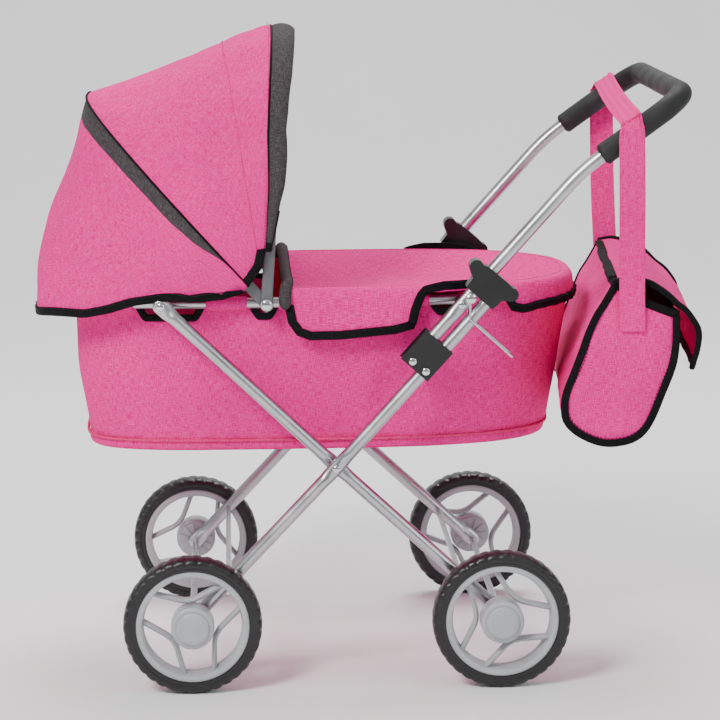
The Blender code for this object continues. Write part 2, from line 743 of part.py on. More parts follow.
def make_apron():
    """The boot cover: it spans the carrycot from its middle to the foot, with a skirt over the rail."""
    front = -0.0400
    rows = {"hem": [], "edge": [], "crown": [], "field": [], "spine": []}
    outline = oval(COT_HEAD_X, COT_FOOT_X, RAIL_Y, 0, count=52)
    # The oval starts at the foot, so its second half goes round from the far head end to the foot.
    ordered = outline[26:] + outline[:27]
    ordered = [point for point in ordered if point.x - AXLES_MID_X > front + 0.004]
    first = place(front, 0, ordered[0].y)
    last = place(front, 0, ordered[-1].y)
    for point in [first] + ordered + [last]:
        x = point.x - AXLES_MID_X
        outward = Vector((max(x - 0.10, 0) / 0.12 * 0.7, point.y / RAIL_Y, 0)).normalized()
        edge = point + outward * blend(0.0078, 0.0030, min(max((x - 0.165) / 0.050, 0), 1))
        spine_x = min(x, 0.160)
        rows["hem"].append(Vector((edge.x, edge.y, apron_hem(x))))
        rows["edge"].append(Vector((edge.x, edge.y, 0.3575)))
        rows["crown"].append(Vector((point.x, point.y, 0.3605)) - outward * 0.0040)
        field = blend(point, place(spine_x, 0), 0.5)
        rows["field"].append(Vector((field.x, field.y, 0.3520)))
        rows["spine"].append(place(spine_x, 0.3480))
    above = Vector((0.08, 0, 1.0))
    sheet("boot_cover", list(rows.values()), 0.0022, PINK, towards=above)


def make_cover_roll():
    """The padded roll along the boot cover's front edge, sagging between the rail's two sides."""
    points = []
    for step in range(13):
        t = step / 12
        sag = 4 * t * (1 - t)
        points.append(place(-0.0490, 0.3600 - 0.0060 * sag, blend(-0.1190, 0.1190, t)))
    tube("boot_cover_roll", points, 0.0055, CHARCOAL, sides=10, lateral=Vector((1, 0, 0)))


# ---------------------------------------------------------------- hood


def hoop_point(radius, half_width, angle, turn):
    """A point on a hoop: turn runs from 0 at the left pivot to pi at the right one."""
    rise = abs(math.sin(turn)) ** HOOP_POWER
    side = -math.copysign(abs(math.cos(turn)) ** HOOP_POWER, math.cos(turn))
    return HOOD_PIVOT + Vector((math.cos(angle) * radius * rise, side * half_width, math.sin(angle) * radius * rise))


def make_bow(name, radius, half_width, angle, parent):
    """A flat plastic hoop with a hole on the pivot axis in each end."""
    count = 30
    turns = [math.pi * (i / count) for i in range(count + 1)]
    points = [hoop_point(radius, half_width, angle, turn) for turn in turns]
    down = Vector((math.cos(angle), 0, math.sin(angle))) * -0.0070
    points[0] = on_plane(HOOD_PIVOT, -half_width) + down
    points[-1] = on_plane(HOOD_PIVOT, half_width) + down
    half_a, half_b = BOW_THICKNESS / 2, BOW_WIDTH / 2
    section = [(half_a, half_b), (-half_a, half_b), (-half_a, -half_b), (half_a, -half_b)]
    plane_normal = Vector((-math.sin(angle), 0, math.cos(angle)))
    bow = add_object(name, sweep(points, [section] * len(points), plane_normal), BOW_GREY, parent)
    hole = peg_cutter(name + "_hole", RIVET_RADIUS + GAP, HOOD_PIVOT, -0.16, 0.16)
    cut(bow, hole)
    return bow


def start_turn(radius, lowest):
    """The turn at which a hoop of this radius is at the given distance from the pivot."""
    return math.asin((lowest / radius) ** (1 / HOOP_POWER))


def hood_row(radius, angle, lowest, count=24):
    first = start_turn(radius, lowest)
    turns = [blend(first, math.pi - first, i / count) for i in range(count + 1)]
    return [hoop_point(radius, HOOD_HALF_WIDTH, angle, turn) for turn in turns]


def make_front_panel(parent):
    """Cloth from the hood's front edge over the front bow to the rear bow, drawn straight between them."""
    edge, behind, rear = math.radians(83.4), math.radians(89.0), HOOD_REAR_ANGLE - math.radians(0.7)
    half = (rear - behind) / 2
    rows = [hood_row(0.2390, edge, 0.050), hood_row(0.2390, behind, 0.050)]
    for step in (0.25, 0.5, 0.75, 1):
        angle = blend(behind, rear, step)
        radius = HOOD_RADIUS * math.cos(half) / math.cos(angle - behind - half)
        rows.append(hood_row(radius, angle, 0.048))
    sheet("hood_front_panel", rows, HOOD_CLOTH, PINK, parent, towards=Vector((-0.3, 0, 2)))


def hem_point(fraction):
    """A point on the hood's lower edge, from the left side round the head end to the right side."""
    turn = math.pi * fraction
    x = -0.1000 - 0.1780 * abs(math.sin(turn)) ** 0.5
    y = -HOOD_HALF_WIDTH * math.copysign(abs(math.cos(turn)) ** 0.5, math.cos(turn))
    dip = min(max((-0.180 - x) / 0.045, 0), 1)
    return place(x, blend(0.3600, 0.3370, dip) - 0.0080 * math.sin(turn) ** 8, y)


def make_rear_panel(parent):
    """Cloth from the rear bow down round the carrycot's head end."""
    angle = HOOD_REAR_ANGLE + math.radians(0.7)
    count = 24
    top = hood_row(HOOD_RADIUS, angle, 0.048, count)
    rows = []
    for level in (0, 0.2, 0.4, 0.6, 0.8, 1):
        row = []
        for i, point in enumerate(top):
            fraction = i / count
            swell = 0.0150 * math.sin(math.pi * level**2) * math.sin(math.pi * fraction)
            row.append(blend(point, hem_point(fraction), level) + Vector((-swell, 0, 0)))
        rows.append(row)
    sheet("hood_rear_panel", rows, HOOD_CLOTH, PINK, parent, towards=Vector((-2, 0, 1)))


# ---------------------------------------------------------------- bag


def bag_point(across, up, y):
    """A point of the bag: across and up in its leaning section, and its place along its length."""
    x = BAG_BASE.x + across * math.cos(BAG_LEAN) + up * math.sin(BAG_LEAN)
    z = BAG_BASE.z - across * math.sin(BAG_LEAN) + up * math.cos(BAG_LEAN)
    return Vector((x + BAG_SKEW * (y + BAG_HALF_LENGTH), y, z))


def bag_section(inset):
    """The bag's U: (across, up) points from the back's top edge round the bottom to the front's."""
    radius = BAG_RADIUS - inset
    section = [(-0.0300 + inset, 0.1000), (-0.0375 + inset, 0.0740), (-0.0425 + inset, 0.0300)]
    for step in range(9):
        turn = math.pi * (1 + step / 8)
        section.append((radius * math.cos(turn), radius * math.sin(turn)))
    section += [(0.0425 - inset, 0.0300), (0.0392 - inset, 0.0700), (0.0355 - inset, 0.0905)]
    return section


def make_bag_body(parent):
    """An open-topped bag: outer wall, end panels and a hollow reached from above."""
    bm = bmesh.new()
    outlines = []
    for y, inset in ((-BAG_HALF_LENGTH, 0), (BAG_HALF_LENGTH, 0)):
        outlines.append([bm.verts.new(bag_point(a, u, y)) for a, u in bag_section(inset)])
    join_rings(bm, outlines, False)
    bm.faces.new(outlines[0])
    bm.faces.new(outlines[1])
    bag = add_object("bag_body", bm, PINK, parent)
    hollow = bmesh.new()
    rings = []
    end = BAG_HALF_LENGTH - BAG_WALL
    for y in (-end, end):
        section = bag_section(BAG_WALL)
        section = [(section[0][0] + 0.004, 0.1300)] + section + [(section[-1][0], 0.1300)]
        rings.append([hollow.verts.new(bag_point(a, u, y)) for a, u in section])
    join_rings(hollow, rings, False)
    hollow.faces.new(rings[0])
    hollow.faces.new(rings[1])
    cut(bag, as_cutter(add_object("bag_hollow", hollow, None)))


def make_bag_flap(parent):
    """The lid of the bag: from the back's top edge over the opening and down the front."""
    profile = [(0.2445, 0.3680), (0.2600, 0.3690), (0.2760, 0.3660), (0.2910, 0.3580), (0.3040, 0.3460), (0.3160, 0.3330), (0.3245, 0.3180), (0.3240, 0.3000), (0.3175, 0.2840)]
    rows = []
    for x, z in profile:
        row = []
        for step in range(5):
            y = blend(-0.1390, 0.1390, step / 4)
            row.append(place(x, z, y) + Vector((BAG_SKEW * (y + BAG_HALF_LENGTH), 0, 0)))
        rows.append(row)
    return sheet("bag_flap", rows, 0.0020, PINK, parent, towards=Vector((0.6, 0, 1)))


def strap_path():
    """(point, tilt) along the strap's middle: up outside the left grip, across and down the right."""
    grip_slope = math.tan(GRIP_ANGLE)

    def grip_z(x):
        return CROSSBAR.z + (x + AXLES_MID_X - CROSSBAR.x) * grip_slope

    clear = GRIP_RADIUS + 0.0030
    near_x, far_x = 0.2548, 0.2705
    near_z, far_z = grip_z(near_x), grip_z(far_x)
    top = clear / math.cos(GRIP_ANGLE)
    path = [
        (place(0.2585, 0.3300, -0.1428), 0),
        (place(0.2580, 0.3560, -0.1440), 0),
        (place(0.2570, 0.4000, -0.1560), 0),
        (place(0.2560, 0.4450, -0.1615), 0),
        (place(0.2550, near_z, -0.1490 - clear), 0.25),
    ]
    for step in (1, 2, 3):
        angle = math.pi / 2 * step / 3
        y = -FRONT_LEG_Y - clear * math.cos(angle)
        path.append((place(near_x, near_z + top * math.sin(angle), y), blend(0.3, 1, step / 3)))
    for t in (0.25, 0.5, 0.75):
        x = blend(near_x, far_x, t)
        path.append((place(x, grip_z(x) + top + 0.0005, blend(-FRONT_LEG_Y, FRONT_LEG_Y, t)), 1))
    for step in (3, 2, 1):
        angle = math.pi / 2 * step / 3
        y = FRONT_LEG_Y + clear * math.cos(angle)
        path.append((place(far_x, far_z + top * math.sin(angle), y), blend(0.3, 1, step / 3)))
    path += [
        (place(far_x, far_z, 0.1490 + clear), 0.25),
        (place(0.2710, 0.4450, 0.1615), 0),
        (place(0.2718, 0.4000, 0.1560), 0),
        (place(0.2735, 0.3560, 0.1440), 0),
        (place(0.2745, 0.3300, 0.1428), 0),
    ]
    return path


def make_strap(parent):
    near_edge, far_edge = [], []
    for point, tilt in strap_path():
        slope = GRIP_ANGLE * tilt
        half = Vector((math.cos(slope), 0, math.sin(slope))) * (STRAP_WIDTH / 2)
        near_edge.append(point - half)
        far_edge.append(point + half)
    sheet("bag_strap", [near_edge, far_edge], STRAP_CLOTH, PINK, parent, towards=Vector((0.2, -3, 0.4)))


# ---------------------------------------------------------------- assembly


def main():
    clear_scene()
    handle_axis = axis_empty("axis_handle", REAR_PIVOT)
    front_leg_axis = axis_empty("axis_front_legs", BRACKET_PIVOT, handle_axis)
    rear_leg_axis = axis_empty("axis_rear_legs", FRONT_PIVOT)
    rear_bow_axis = axis_empty("axis_rear_bow", HOOD_PIVOT)
    front_bow_axis = axis_empty("axis_front_bow", HOOD_PIVOT, rear_bow_axis)

    make_cot()
    make_rail()
    make_apron()
    make_cover_roll()

    mesh = rim_mesh()
    for end, axle, legs, spins in (("front", FRONT_AXLE, front_leg_axis, (-14, 80)), ("rear", REAR_AXLE, rear_leg_axis, (-92, -10))):
        for side, spin in zip((-1, 1), spins):
            make_wheel(end, axle, side, mesh, math.radians(spin), legs)
        make_axle(end + "_axle", axle, legs)
    up_front = (LEG_CROSSING - FRONT_AXLE).normalized() * CROSS_ROD_UP_LEG
    up_rear = (LEG_CROSSING - REAR_AXLE).normalized() * CROSS_ROD_UP_LEG
    make_cross_rod("front_cross_rod", FRONT_AXLE + up_front, FRONT_LEG_Y - TUBE_RADIUS - GAP, front_leg_axis)
    make_cross_rod("rear_cross_rod", REAR_AXLE + up_rear, REAR_LEG_Y - TUBE_RADIUS - GAP, rear_leg_axis)

    for side in (-1, 1):
        make_rear_leg(side, rear_leg_axis)
        make_front_leg(side, front_leg_axis)
        make_bracket(side, front_leg_axis)
        make_rivet("crossing_rivet", LEG_CROSSING, side, 0.1436, 0.1563, CHROME, front_leg_axis, inner_head=False)
        make_rivet("bracket_pivot", BRACKET_PIVOT, side, 0.1389, 0.1600, CHROME, front_leg_axis)
        make_rivet("bracket_rivet", bracket_rivet(), side, 0.1389, 0.1600, CHROME, front_leg_axis)
        rail_face = RAIL_Y + RAIL_RADIUS + GAP
        make_rivet("leg_pivot", FRONT_PIVOT, side, rail_face, 0.1423, CHROME, None, inner_head=False)
        make_rivet("handle_pivot", REAR_PIVOT, side, rail_face, 0.1563, CHROME, None, inner_head=False)
        make_rivet("hood_pivot", HOOD_PIVOT, side, rail_face, 0.1405, CHROME, None, inner_head=False)
        bush = [(0.0027, rail_face + GAP), (0.0052, rail_face + GAP), (0.0052, 0.1438), (0.0027, 0.1438)]
        turned(side_name("pivot_bush", side), [(radius, side * y) for radius, y in bush], REAR_PIVOT, BLACK, None, sides=16)
        spacer = [(AXLE_RADIUS + GAP, 0.1402), (0.0055, 0.1402), (0.0055, 0.1557), (AXLE_RADIUS + GAP, 0.1557)]
        turned(side_name("axle_spacer", side), [(radius, side * y) for radius, y in spacer], REAR_AXLE, BLACK, rear_leg_axis, sides=16)
        latch_axis = axis_empty(side_name("axis_latch", side), on_plane(local_corners([(0.095, 0)])[0], side * FRONT_LEG_Y), handle_axis)
        make_latch(side, latch_axis)

    make_handle(handle_axis)
    make_grip(handle_axis)
    make_bail_rivet(handle_axis)
    bail_axis = axis_empty("axis_bail", on_plane(BAIL_PIVOT, -FRONT_LEG_Y), handle_axis)
    make_bail(bail_axis)

    make_bow("hood_rear_bow", 0.2335, REAR_BOW_Y, HOOD_REAR_ANGLE, rear_bow_axis)
    make_bow("hood_front_bow", 0.2305, FRONT_BOW_Y, HOOD_FRONT_ANGLE, front_bow_axis)
    make_rear_panel(rear_bow_axis)
    make_front_panel(front_bow_axis)

    bag_axis = axis_empty("axis_bag", place(0.2635, 0.5025), handle_axis)
    make_bag_body(bag_axis)
    make_strap(bag_axis)
    flap_axis = axis_empty("axis_bag_flap", place(0.2545, 0.3670), bag_axis)
    make_bag_flap(flap_axis)


main()
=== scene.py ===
import json
import math

import bmesh
import bpy
import numpy as np
from mathutils import Matrix, Vector, noise


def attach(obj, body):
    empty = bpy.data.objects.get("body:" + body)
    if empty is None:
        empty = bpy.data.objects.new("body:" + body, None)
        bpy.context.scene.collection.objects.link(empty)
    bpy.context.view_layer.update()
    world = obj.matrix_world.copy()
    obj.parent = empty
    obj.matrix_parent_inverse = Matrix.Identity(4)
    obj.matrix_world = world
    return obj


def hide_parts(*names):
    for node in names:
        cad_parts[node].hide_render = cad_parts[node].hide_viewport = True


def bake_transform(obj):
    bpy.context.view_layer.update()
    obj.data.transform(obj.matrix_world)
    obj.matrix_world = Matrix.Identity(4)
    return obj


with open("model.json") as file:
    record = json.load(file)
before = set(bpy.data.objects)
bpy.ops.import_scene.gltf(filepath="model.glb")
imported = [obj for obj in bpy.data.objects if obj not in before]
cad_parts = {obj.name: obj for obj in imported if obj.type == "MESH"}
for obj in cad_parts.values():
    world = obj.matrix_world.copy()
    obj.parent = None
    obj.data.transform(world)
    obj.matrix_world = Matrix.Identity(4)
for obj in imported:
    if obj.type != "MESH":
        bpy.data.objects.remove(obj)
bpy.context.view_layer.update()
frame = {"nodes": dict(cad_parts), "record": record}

JOINTS = {joint["name"]: joint for joint in frame["record"]["behaviour"]["joints"]}


def joint_at(name):
    return np.array(JOINTS[name]["pos_m"], float)


# ---------------------------------------------------------------- dimensions, metres

FRONT_AXLE = joint_at("front_left_wheel_spin") * (1, 0, 1)
REAR_AXLE = joint_at("rear_left_wheel_spin") * (1, 0, 1)
MID_X = (FRONT_AXLE[0] + REAR_AXLE[0]) / 2
FRONT_PIVOT = joint_at("rear_leg_fold") * (1, 0, 1)
REAR_PIVOT = joint_at("fold") * (1, 0, 1)
BRACKET_PIVOT = joint_at("front_leg_fold") * (1, 0, 1)
HOOD_PIVOT = joint_at("hood_fold") * (1, 0, 1)
BAIL_PIVOT = joint_at("catch_swing") * (1, 0, 1)
WHEEL_Y = abs(joint_at("front_left_wheel_spin")[1])
RAIL_Z = FRONT_PIVOT[2]
LEG_CROSSING = np.array((MID_X - 0.0082, 0, 0.1998))
CROSSBAR = np.array((MID_X + 0.3041, 0, 0.5314))
ALONG = np.array((math.cos(math.radians(47.9)), 0, math.sin(math.radians(47.9))))
ACROSS = np.array((-ALONG[2], 0, ALONG[0]))
GRIP_ANGLE = math.radians(35.6)
GRIP_ALONG = np.array((math.cos(GRIP_ANGLE), 0, math.sin(GRIP_ANGLE)))
REAR_LEG_Y, FRONT_LEG_Y = 0.1365, 0.1490
TUBE, RAIL, RAIL_Y = 0.0060, 0.0050, 0.1245
HOOD_HALF_WIDTH, HOOD_RADIUS, HOOD_COLUMNS = 0.1415, 0.2410, 97
REAR_BOW_ANGLE, FRONT_BOW_ANGLE, REAR_SEAM_ANGLE = 133.0, 86.2, 133.0 - 0.9
HOOD_INSIDE = HOOD_PIVOT + (-0.03, 0, 0.06)
BAG_END, BAG_SKEW = 0.1400, 0.080
BINDING = 0.0080
COT_BOTTOM, COT_FLOOR, COT_EDGE, COT_SEAM_LEVEL = 0.2075, 0.2106, 0.3475, 0.0787
NOTCHES = ((-0.1890, -0.1213, 0.3324), (-0.0870, -0.0546, 0.3333), (0.0755, 0.1075, 0.3347))
Y = np.array((0, 1, 0.0))


def P(x, z, y=0.0):
    """A point whose x is counted from the middle between the axles."""
    return np.array((x + MID_X, y, z), float)


# ---------------------------------------------------------------- materials


def new_material(name):
    made = bpy.data.materials.new(name)
    made.use_nodes = True
    tree = made.node_tree
    return made, tree, tree.nodes["Principled BSDF"]


def node(tree, kind, inputs=None, **settings):
    made = tree.nodes.new(kind)
    for key, value in settings.items():
        setattr(made, key, value)
    for key, value in (inputs or {}).items():
        if isinstance(value, bpy.types.NodeSocket):
            tree.links.new(value, made.inputs[key])
        else:
            made.inputs[key].default_value = value
    return made


def stretched_noise(tree, coordinates, scale, detail=3.0):
    mapped = node(tree, "ShaderNodeMapping", {"Vector": coordinates, "Scale": scale})
    inputs = {"Vector": mapped.outputs[0], "Scale": 1.0, "Detail": detail}
    return node(tree, "ShaderNodeTexNoise", inputs).outputs["Fac"]


def ramp(tree, factor, stops):
    made = node(tree, "ShaderNodeValToRGB", {"Fac": factor})
    elements = made.color_ramp.elements
    while len(elements) < len(stops):
        elements.new(0.5)
    for element, (position, colour) in zip(elements, stops):
        element.position = position
        element.color = (*colour, 1)
    return made.outputs["Color"]


def math_node(tree, operation, a, b):
    made = tree.nodes.new("ShaderNodeMath")
    made.operation = operation
    for socket, value in zip(made.inputs, (a, b)):
        if isinstance(value, bpy.types.NodeSocket):
            tree.links.new(value, socket)
        else:
            socket.default_value = value
    return made.outputs[0]


def bump(tree, height, distance, strength, below=None):
    inputs = {"Height": height, "Distance": distance, "Strength": strength}
    if below is not None:
        inputs["Normal"] = below
    return node(tree, "ShaderNodeBump", inputs).outputs["Normal"]


def fabric(name, dark, mid, light, pitch=0.00075, sheen=0.35, melange=0.5, roughness=0.82, satin=0.0):
    """Woven cloth on UVs in metres: threads of two directions, heathered colour, soft creases and wear."""
    made, tree, shader = new_material(name)
    uv = node(tree, "ShaderNodeUVMap").outputs[0]
    space = node(tree, "ShaderNodeTexCoord").outputs["Object"]
    warp = stretched_noise(tree, uv, (150, 2500, 1))
    weft = stretched_noise(tree, uv, (2500, 150, 1))
    flecks = stretched_noise(tree, uv, (1500, 1500, 1), 4.0)
    crossing = [math_node(tree, "MULTIPLY", yarn, 0.36) for yarn in (warp, weft)]
    threads = math_node(tree, "ADD", *crossing)
    threads = math_node(tree, "ADD", threads, math_node(tree, "MULTIPLY", flecks, 0.28))
    spread = 0.03 + 0.11 * melange
    colour = ramp(tree, threads, [(0.5 - spread, dark), (0.5, mid), (0.5 + spread, light)])
    fade = stretched_noise(tree, space, (9, 9, 9), 4.0)
    shade = ramp(tree, fade, [(0.30, (0.86, 0.86, 0.86)), (0.70, (1.0, 1.0, 1.0))])
    mixed = node(tree, "ShaderNodeMix", data_type="RGBA", blend_type="MULTIPLY")
    mixed.inputs["Factor"].default_value = 1.0
    tree.links.new(colour, mixed.inputs["A"])
    tree.links.new(shade, mixed.inputs["B"])
    tree.links.new(mixed.outputs["Result"], shader.inputs["Base Color"])
    scale = 0.3142 / pitch
    waves = []
    for direction in ("X", "Y"):
        wave = node(tree, "ShaderNodeTexWave", {"Vector": uv, "Scale": scale}, bands_direction=direction)
        waves.append(wave.outputs["Fac"])
    weave = math_node(tree, "MULTIPLY", waves[0], waves[1])
    creases = stretched_noise(tree, space, (48, 48, 48), 3.0)
    normal = bump(tree, creases, 0.0024, 0.45)
    normal = bump(tree, threads, 0.0003, 0.35, normal)
    normal = bump(tree, weave, 0.00016, 0.55, normal)
    tree.links.new(normal, shader.inputs["Normal"])
    rough = ramp(tree, fade, [(0.3, (roughness - 0.07,) * 3), (0.7, (min(roughness + 0.07, 1),) * 3)])
    tree.links.new(rough, shader.inputs["Roughness"])
    shader.inputs["Sheen Weight"].default_value = sheen
    shader.inputs["Sheen Roughness"].default_value = 0.45
    shader.inputs["Sheen Tint"].default_value = (*[min(1, c * 1.1 + 0.12) for c in light], 1)
    shader.inputs["Specular IOR Level"].default_value = 0.12 + satin
    return made


def hard(name, colour, roughness, metallic=0.0, grain=0.00006, scale=900, wear=0.10, coat=0.0):
    """Moulded plastic, paint or plated metal with a fine grain, uneven gloss and a little dust."""
    made, tree, shader = new_material(name)
    space = node(tree, "ShaderNodeTexCoord").outputs["Object"]
    cloud = stretched_noise(tree, space, (35, 35, 35), 5.0)
    light = [min(1, c * 1.12 + 0.002) for c in colour]
    deep = [c * 0.90 for c in colour]
    shades = ramp(tree, cloud, [(0.30, deep), (0.5, colour), (0.72, light)])
    tree.links.new(shades, shader.inputs["Base Color"])
    low, high = max(roughness - wear, 0.03), min(roughness + wear, 1)
    rough = ramp(tree, cloud, [(0.35, (low,) * 3), (0.68, (high,) * 3)])
    tree.links.new(rough, shader.inputs["Roughness"])
    fine = stretched_noise(tree, space, (scale, scale, scale), 2.0)
    tree.links.new(bump(tree, fine, grain, 0.5), shader.inputs["Normal"])
    shader.inputs["Metallic"].default_value = metallic
    shader.inputs["Coat Weight"].default_value = coat
    return made


PINK = fabric(
    "pink_melange", (0.54, 0.001, 0.130), (0.90, 0.004, 0.262), (0.98, 0.070, 0.41), sheen=0.03,
    melange=0.62
)
LINING = fabric(
    "pink_lining", (0.56, 0.004, 0.12), (0.80, 0.012, 0.21), (0.92, 0.06, 0.32), pitch=0.0005, sheen=0.04,
    satin=0.2, roughness=0.6
)
GREY = fabric(
    "grey_melange", (0.016, 0.013, 0.015), (0.050, 0.042, 0.046), (0.125, 0.112, 0.118), sheen=0.06,
    melange=0.9
)
TAPE = fabric(
    "black_tape", (0.0015, 0.0015, 0.002), (0.0035, 0.0032, 0.0036), (0.010, 0.0095, 0.010), pitch=0.0009,
    sheen=0.02, roughness=0.75
)
THREAD = fabric(
    "pink_thread", (0.58, 0.006, 0.10), (0.78, 0.02, 0.19), (0.88, 0.06, 0.28), pitch=0.0004, sheen=0.05
)
DARK_THREAD = fabric(
    "dark_thread", (0.010, 0.009, 0.010), (0.020, 0.018, 0.020), (0.040, 0.038, 0.040), pitch=0.0004,
    sheen=0.02
)
SILVER = hard("satin_silver", (0.47, 0.475, 0.49), 0.30, 1.0, grain=0.00002, scale=1600, wear=0.06)
CHROME = hard("chrome", (0.66, 0.66, 0.68), 0.08, 1.0, grain=0.00001, wear=0.04)
BLACK = hard("black_plastic", (0.0045, 0.0045, 0.005), 0.36, grain=0.00010, scale=1300)
BOW = hard("grey_strip", (0.10, 0.10, 0.11), 0.44)
WHEEL = hard("wheel_plastic", (0.36, 0.375, 0.39), 0.40, grain=0.00005, coat=0.10)
FOAM = hard("foam_sleeve", (0.006, 0.006, 0.007), 0.70, grain=0.00045, scale=620)
TYRE = hard("tyre_plastic", (0.0060, 0.0056, 0.0062), 0.42, grain=0.00014, scale=800, wear=0.14)


# ---------------------------------------------------------------- geometry helpers


def unit(v):
    v = np.asarray(v, float)
    return v / np.maximum(np.linalg.norm(v, axis=-1, keepdims=True), 1e-12)


def lerp(a, b, t):
    return a + (b - a) * t


def step01(t):
    t = np.clip(t, 0, 1)
    return t * t * (3 - 2 * t)


def on_plane(point, y):
    return np.array((point[0], y, point[2]))


def resample(points, count, closed=False):
    """The same path with count points at equal steps."""
    points = np.asarray(points, float)
    if closed:
        points = np.vstack([points, points[:1]])
    reach = np.concatenate([[0], np.cumsum(np.linalg.norm(np.diff(points, axis=0), axis=1))])
    at = np.linspace(0, reach[-1], count, endpoint=not closed)
    return np.stack([np.interp(at, reach, points[:, k]) for k in range(points.shape[1])], axis=1)


def spline(points, count, closed=False):
    """A smooth curve through the points, with count points at equal steps."""
    p = np.asarray(points, float)
    n = len(p)
    if closed:
        p = np.vstack([p[-1:], p, p[:2]])
    else:
        p = np.vstack([2 * p[:1] - p[1:2], p, 2 * p[-1:] - p[-2:-1]])
    fine = []
    for i in range(1, (n + 1) if closed else n):
        a, b, c, d = p[i - 1], p[i], p[i + 1], p[i + 2]
        for t in np.linspace(0, 1, 16, endpoint=False):
            bend, twist = 2 * a - 5 * b + 4 * c - d, 3 * b - a - 3 * c + d
            fine.append(0.5 * (2 * b + (c - a) * t + bend * t * t + twist * t**3))
    if not closed:
        fine.append(p[-2])
    return resample(fine, count, closed)


def wander(points, scale, seed=0.0):
    """Soft noise from -1 to 1 at each point."""
    flat = np.asarray(points, float).reshape(-1, 3) * scale + (seed, 0, 0)
    values = np.array([noise.noise(Vector(p)) for p in flat])
    return values.reshape(np.asarray(points).shape[:-1])


def turns_of(sides):
    return 2 * math.pi * np.arange(sides) / sides


def ovals(a, b, sides):
    """One outline for each point of a path, from its half widths there."""
    turns = turns_of(sides)
    return np.stack([a[:, None] * np.cos(turns), b[:, None] * np.sin(turns)], axis=2)


def end_distance(path):
    """How far each point is from the nearer end of the path."""
    return np.minimum(*(np.linalg.norm(path - end, axis=1) for end in (path[0], path[-1])))


def rounding(reach, length, least):
    """The rise of a quarter circle over that length, and no less than least."""
    return np.sqrt(np.clip(1 - (1 - np.clip(reach / length, 0, 1)) ** 2, least, 1))


def grid_normals(rows, closed=False):
    if closed:
        along = np.roll(rows, -1, axis=1) - np.roll(rows, 1, axis=1)
    else:
        along = np.gradient(rows, axis=1)
    return unit(np.cross(along, np.gradient(rows, axis=0)))


def outward_normals(rows, inside):
    """Normals of a grid of points that face away from inside."""
    normals = grid_normals(rows)
    return -normals if float(((rows - np.asarray(inside)) * normals).sum()) < 0 else normals


def make(name, verts, faces, looks, uvs=None, indices=None, sharp=None):
    """A mesh object. looks is a material or several, indices the material of each face."""
    mesh = bpy.data.meshes.new(name)
    mesh.from_pydata([tuple(v) for v in verts], [], faces)
    for look in looks if isinstance(looks, (list, tuple)) else [looks]:
        mesh.materials.append(look)
    if indices is not None:
        mesh.polygons.foreach_set("material_index", indices)
    if uvs is not None:
        layer = mesh.uv_layers.new(name="UVMap")
        layer.data.foreach_set("uv", np.asarray(uvs, np.float32).ravel())
    mesh.shade_smooth()
    if sharp is not None:
        mesh.set_sharp_from_angle(angle=math.radians(sharp))
    mesh.update()
    obj = bpy.data.objects.new(name, mesh)
    bpy.context.scene.collection.objects.link(obj)
    return obj


def grid_parts(rows, closed=False, flip=False):
    """Vertices, faces and UVs in metres of a grid of points."""
    rows = np.asarray(rows, float)
    n, m = rows.shape[:2]
    wrapped = np.concatenate([rows, rows[:, :1]], axis=1) if closed else rows
    u = np.concatenate([[0], np.cumsum(np.linalg.norm(np.diff(wrapped, axis=1), axis=2).mean(axis=0))])
    v = np.concatenate([[0], np.cumsum(np.linalg.norm(np.diff(rows, axis=0), axis=2).mean(axis=1))])
    faces, uvs = [], []
    for r in range(n - 1):
        for c in range(m if closed else m - 1):
            d = (c + 1) % m
            near, far = r * m, (r + 1) * m
            face = [(near + c, u[c], v[r]), (near + d, u[c + 1], v[r])]
            face += [(far + d, u[c + 1], v[r + 1]), (far + c, u[c], v[r + 1])]
            if flip:
                face.reverse()
            faces.append(tuple(i for i, _, _ in face))
            uvs += [(a, b) for _, a, b in face]
    return rows.reshape(-1, 3), faces, uvs


def cloth(
    name, rows, looks, thickness=0.0018, closed=False, inside=None, row_looks=None, levels=1, offset=-1.0
):
    """A grid as a sheet of cloth with a real thickness. inside is a point on its inner side."""
    rows = np.asarray(rows, float)
    normals = grid_normals(rows, closed)
    flip = False
    if inside is not None:
        flip = float(((rows - np.asarray(inside)) * normals).sum()) < 0
    verts, faces, uvs = grid_parts(rows, closed, flip)
    indices = None
    if row_looks is not None:
        per_row = rows.shape[1] if closed else rows.shape[1] - 1
        indices = [row_looks[r] for r in range(len(rows) - 1) for _ in range(per_row)]
    obj = make(name, verts, faces, looks, uvs, indices)
    if thickness:
        solid = obj.modifiers.new("thickness", "SOLIDIFY")
        solid.thickness = thickness
        solid.offset = offset
    if levels:
        smooth = obj.modifiers.new("smooth", "SUBSURF")
        smooth.levels = levels
        smooth.render_levels = levels
    return obj


def frames(path, lateral, closed=False):
    """Unit directions across a path: one in its plane, one lateral."""
    path = np.asarray(path, float)
    if closed:
        along = unit(np.roll(path, -1, axis=0) - np.roll(path, 1, axis=0))
    else:
        along = unit(np.gradient(path, axis=0))
    side = unit(np.asarray(lateral, float))
    sides = []
    for direction in along:
        side = unit(side - direction * side.dot(direction))
        sides.append(side)
    sides = np.array(sides)
    return np.cross(sides, along), sides


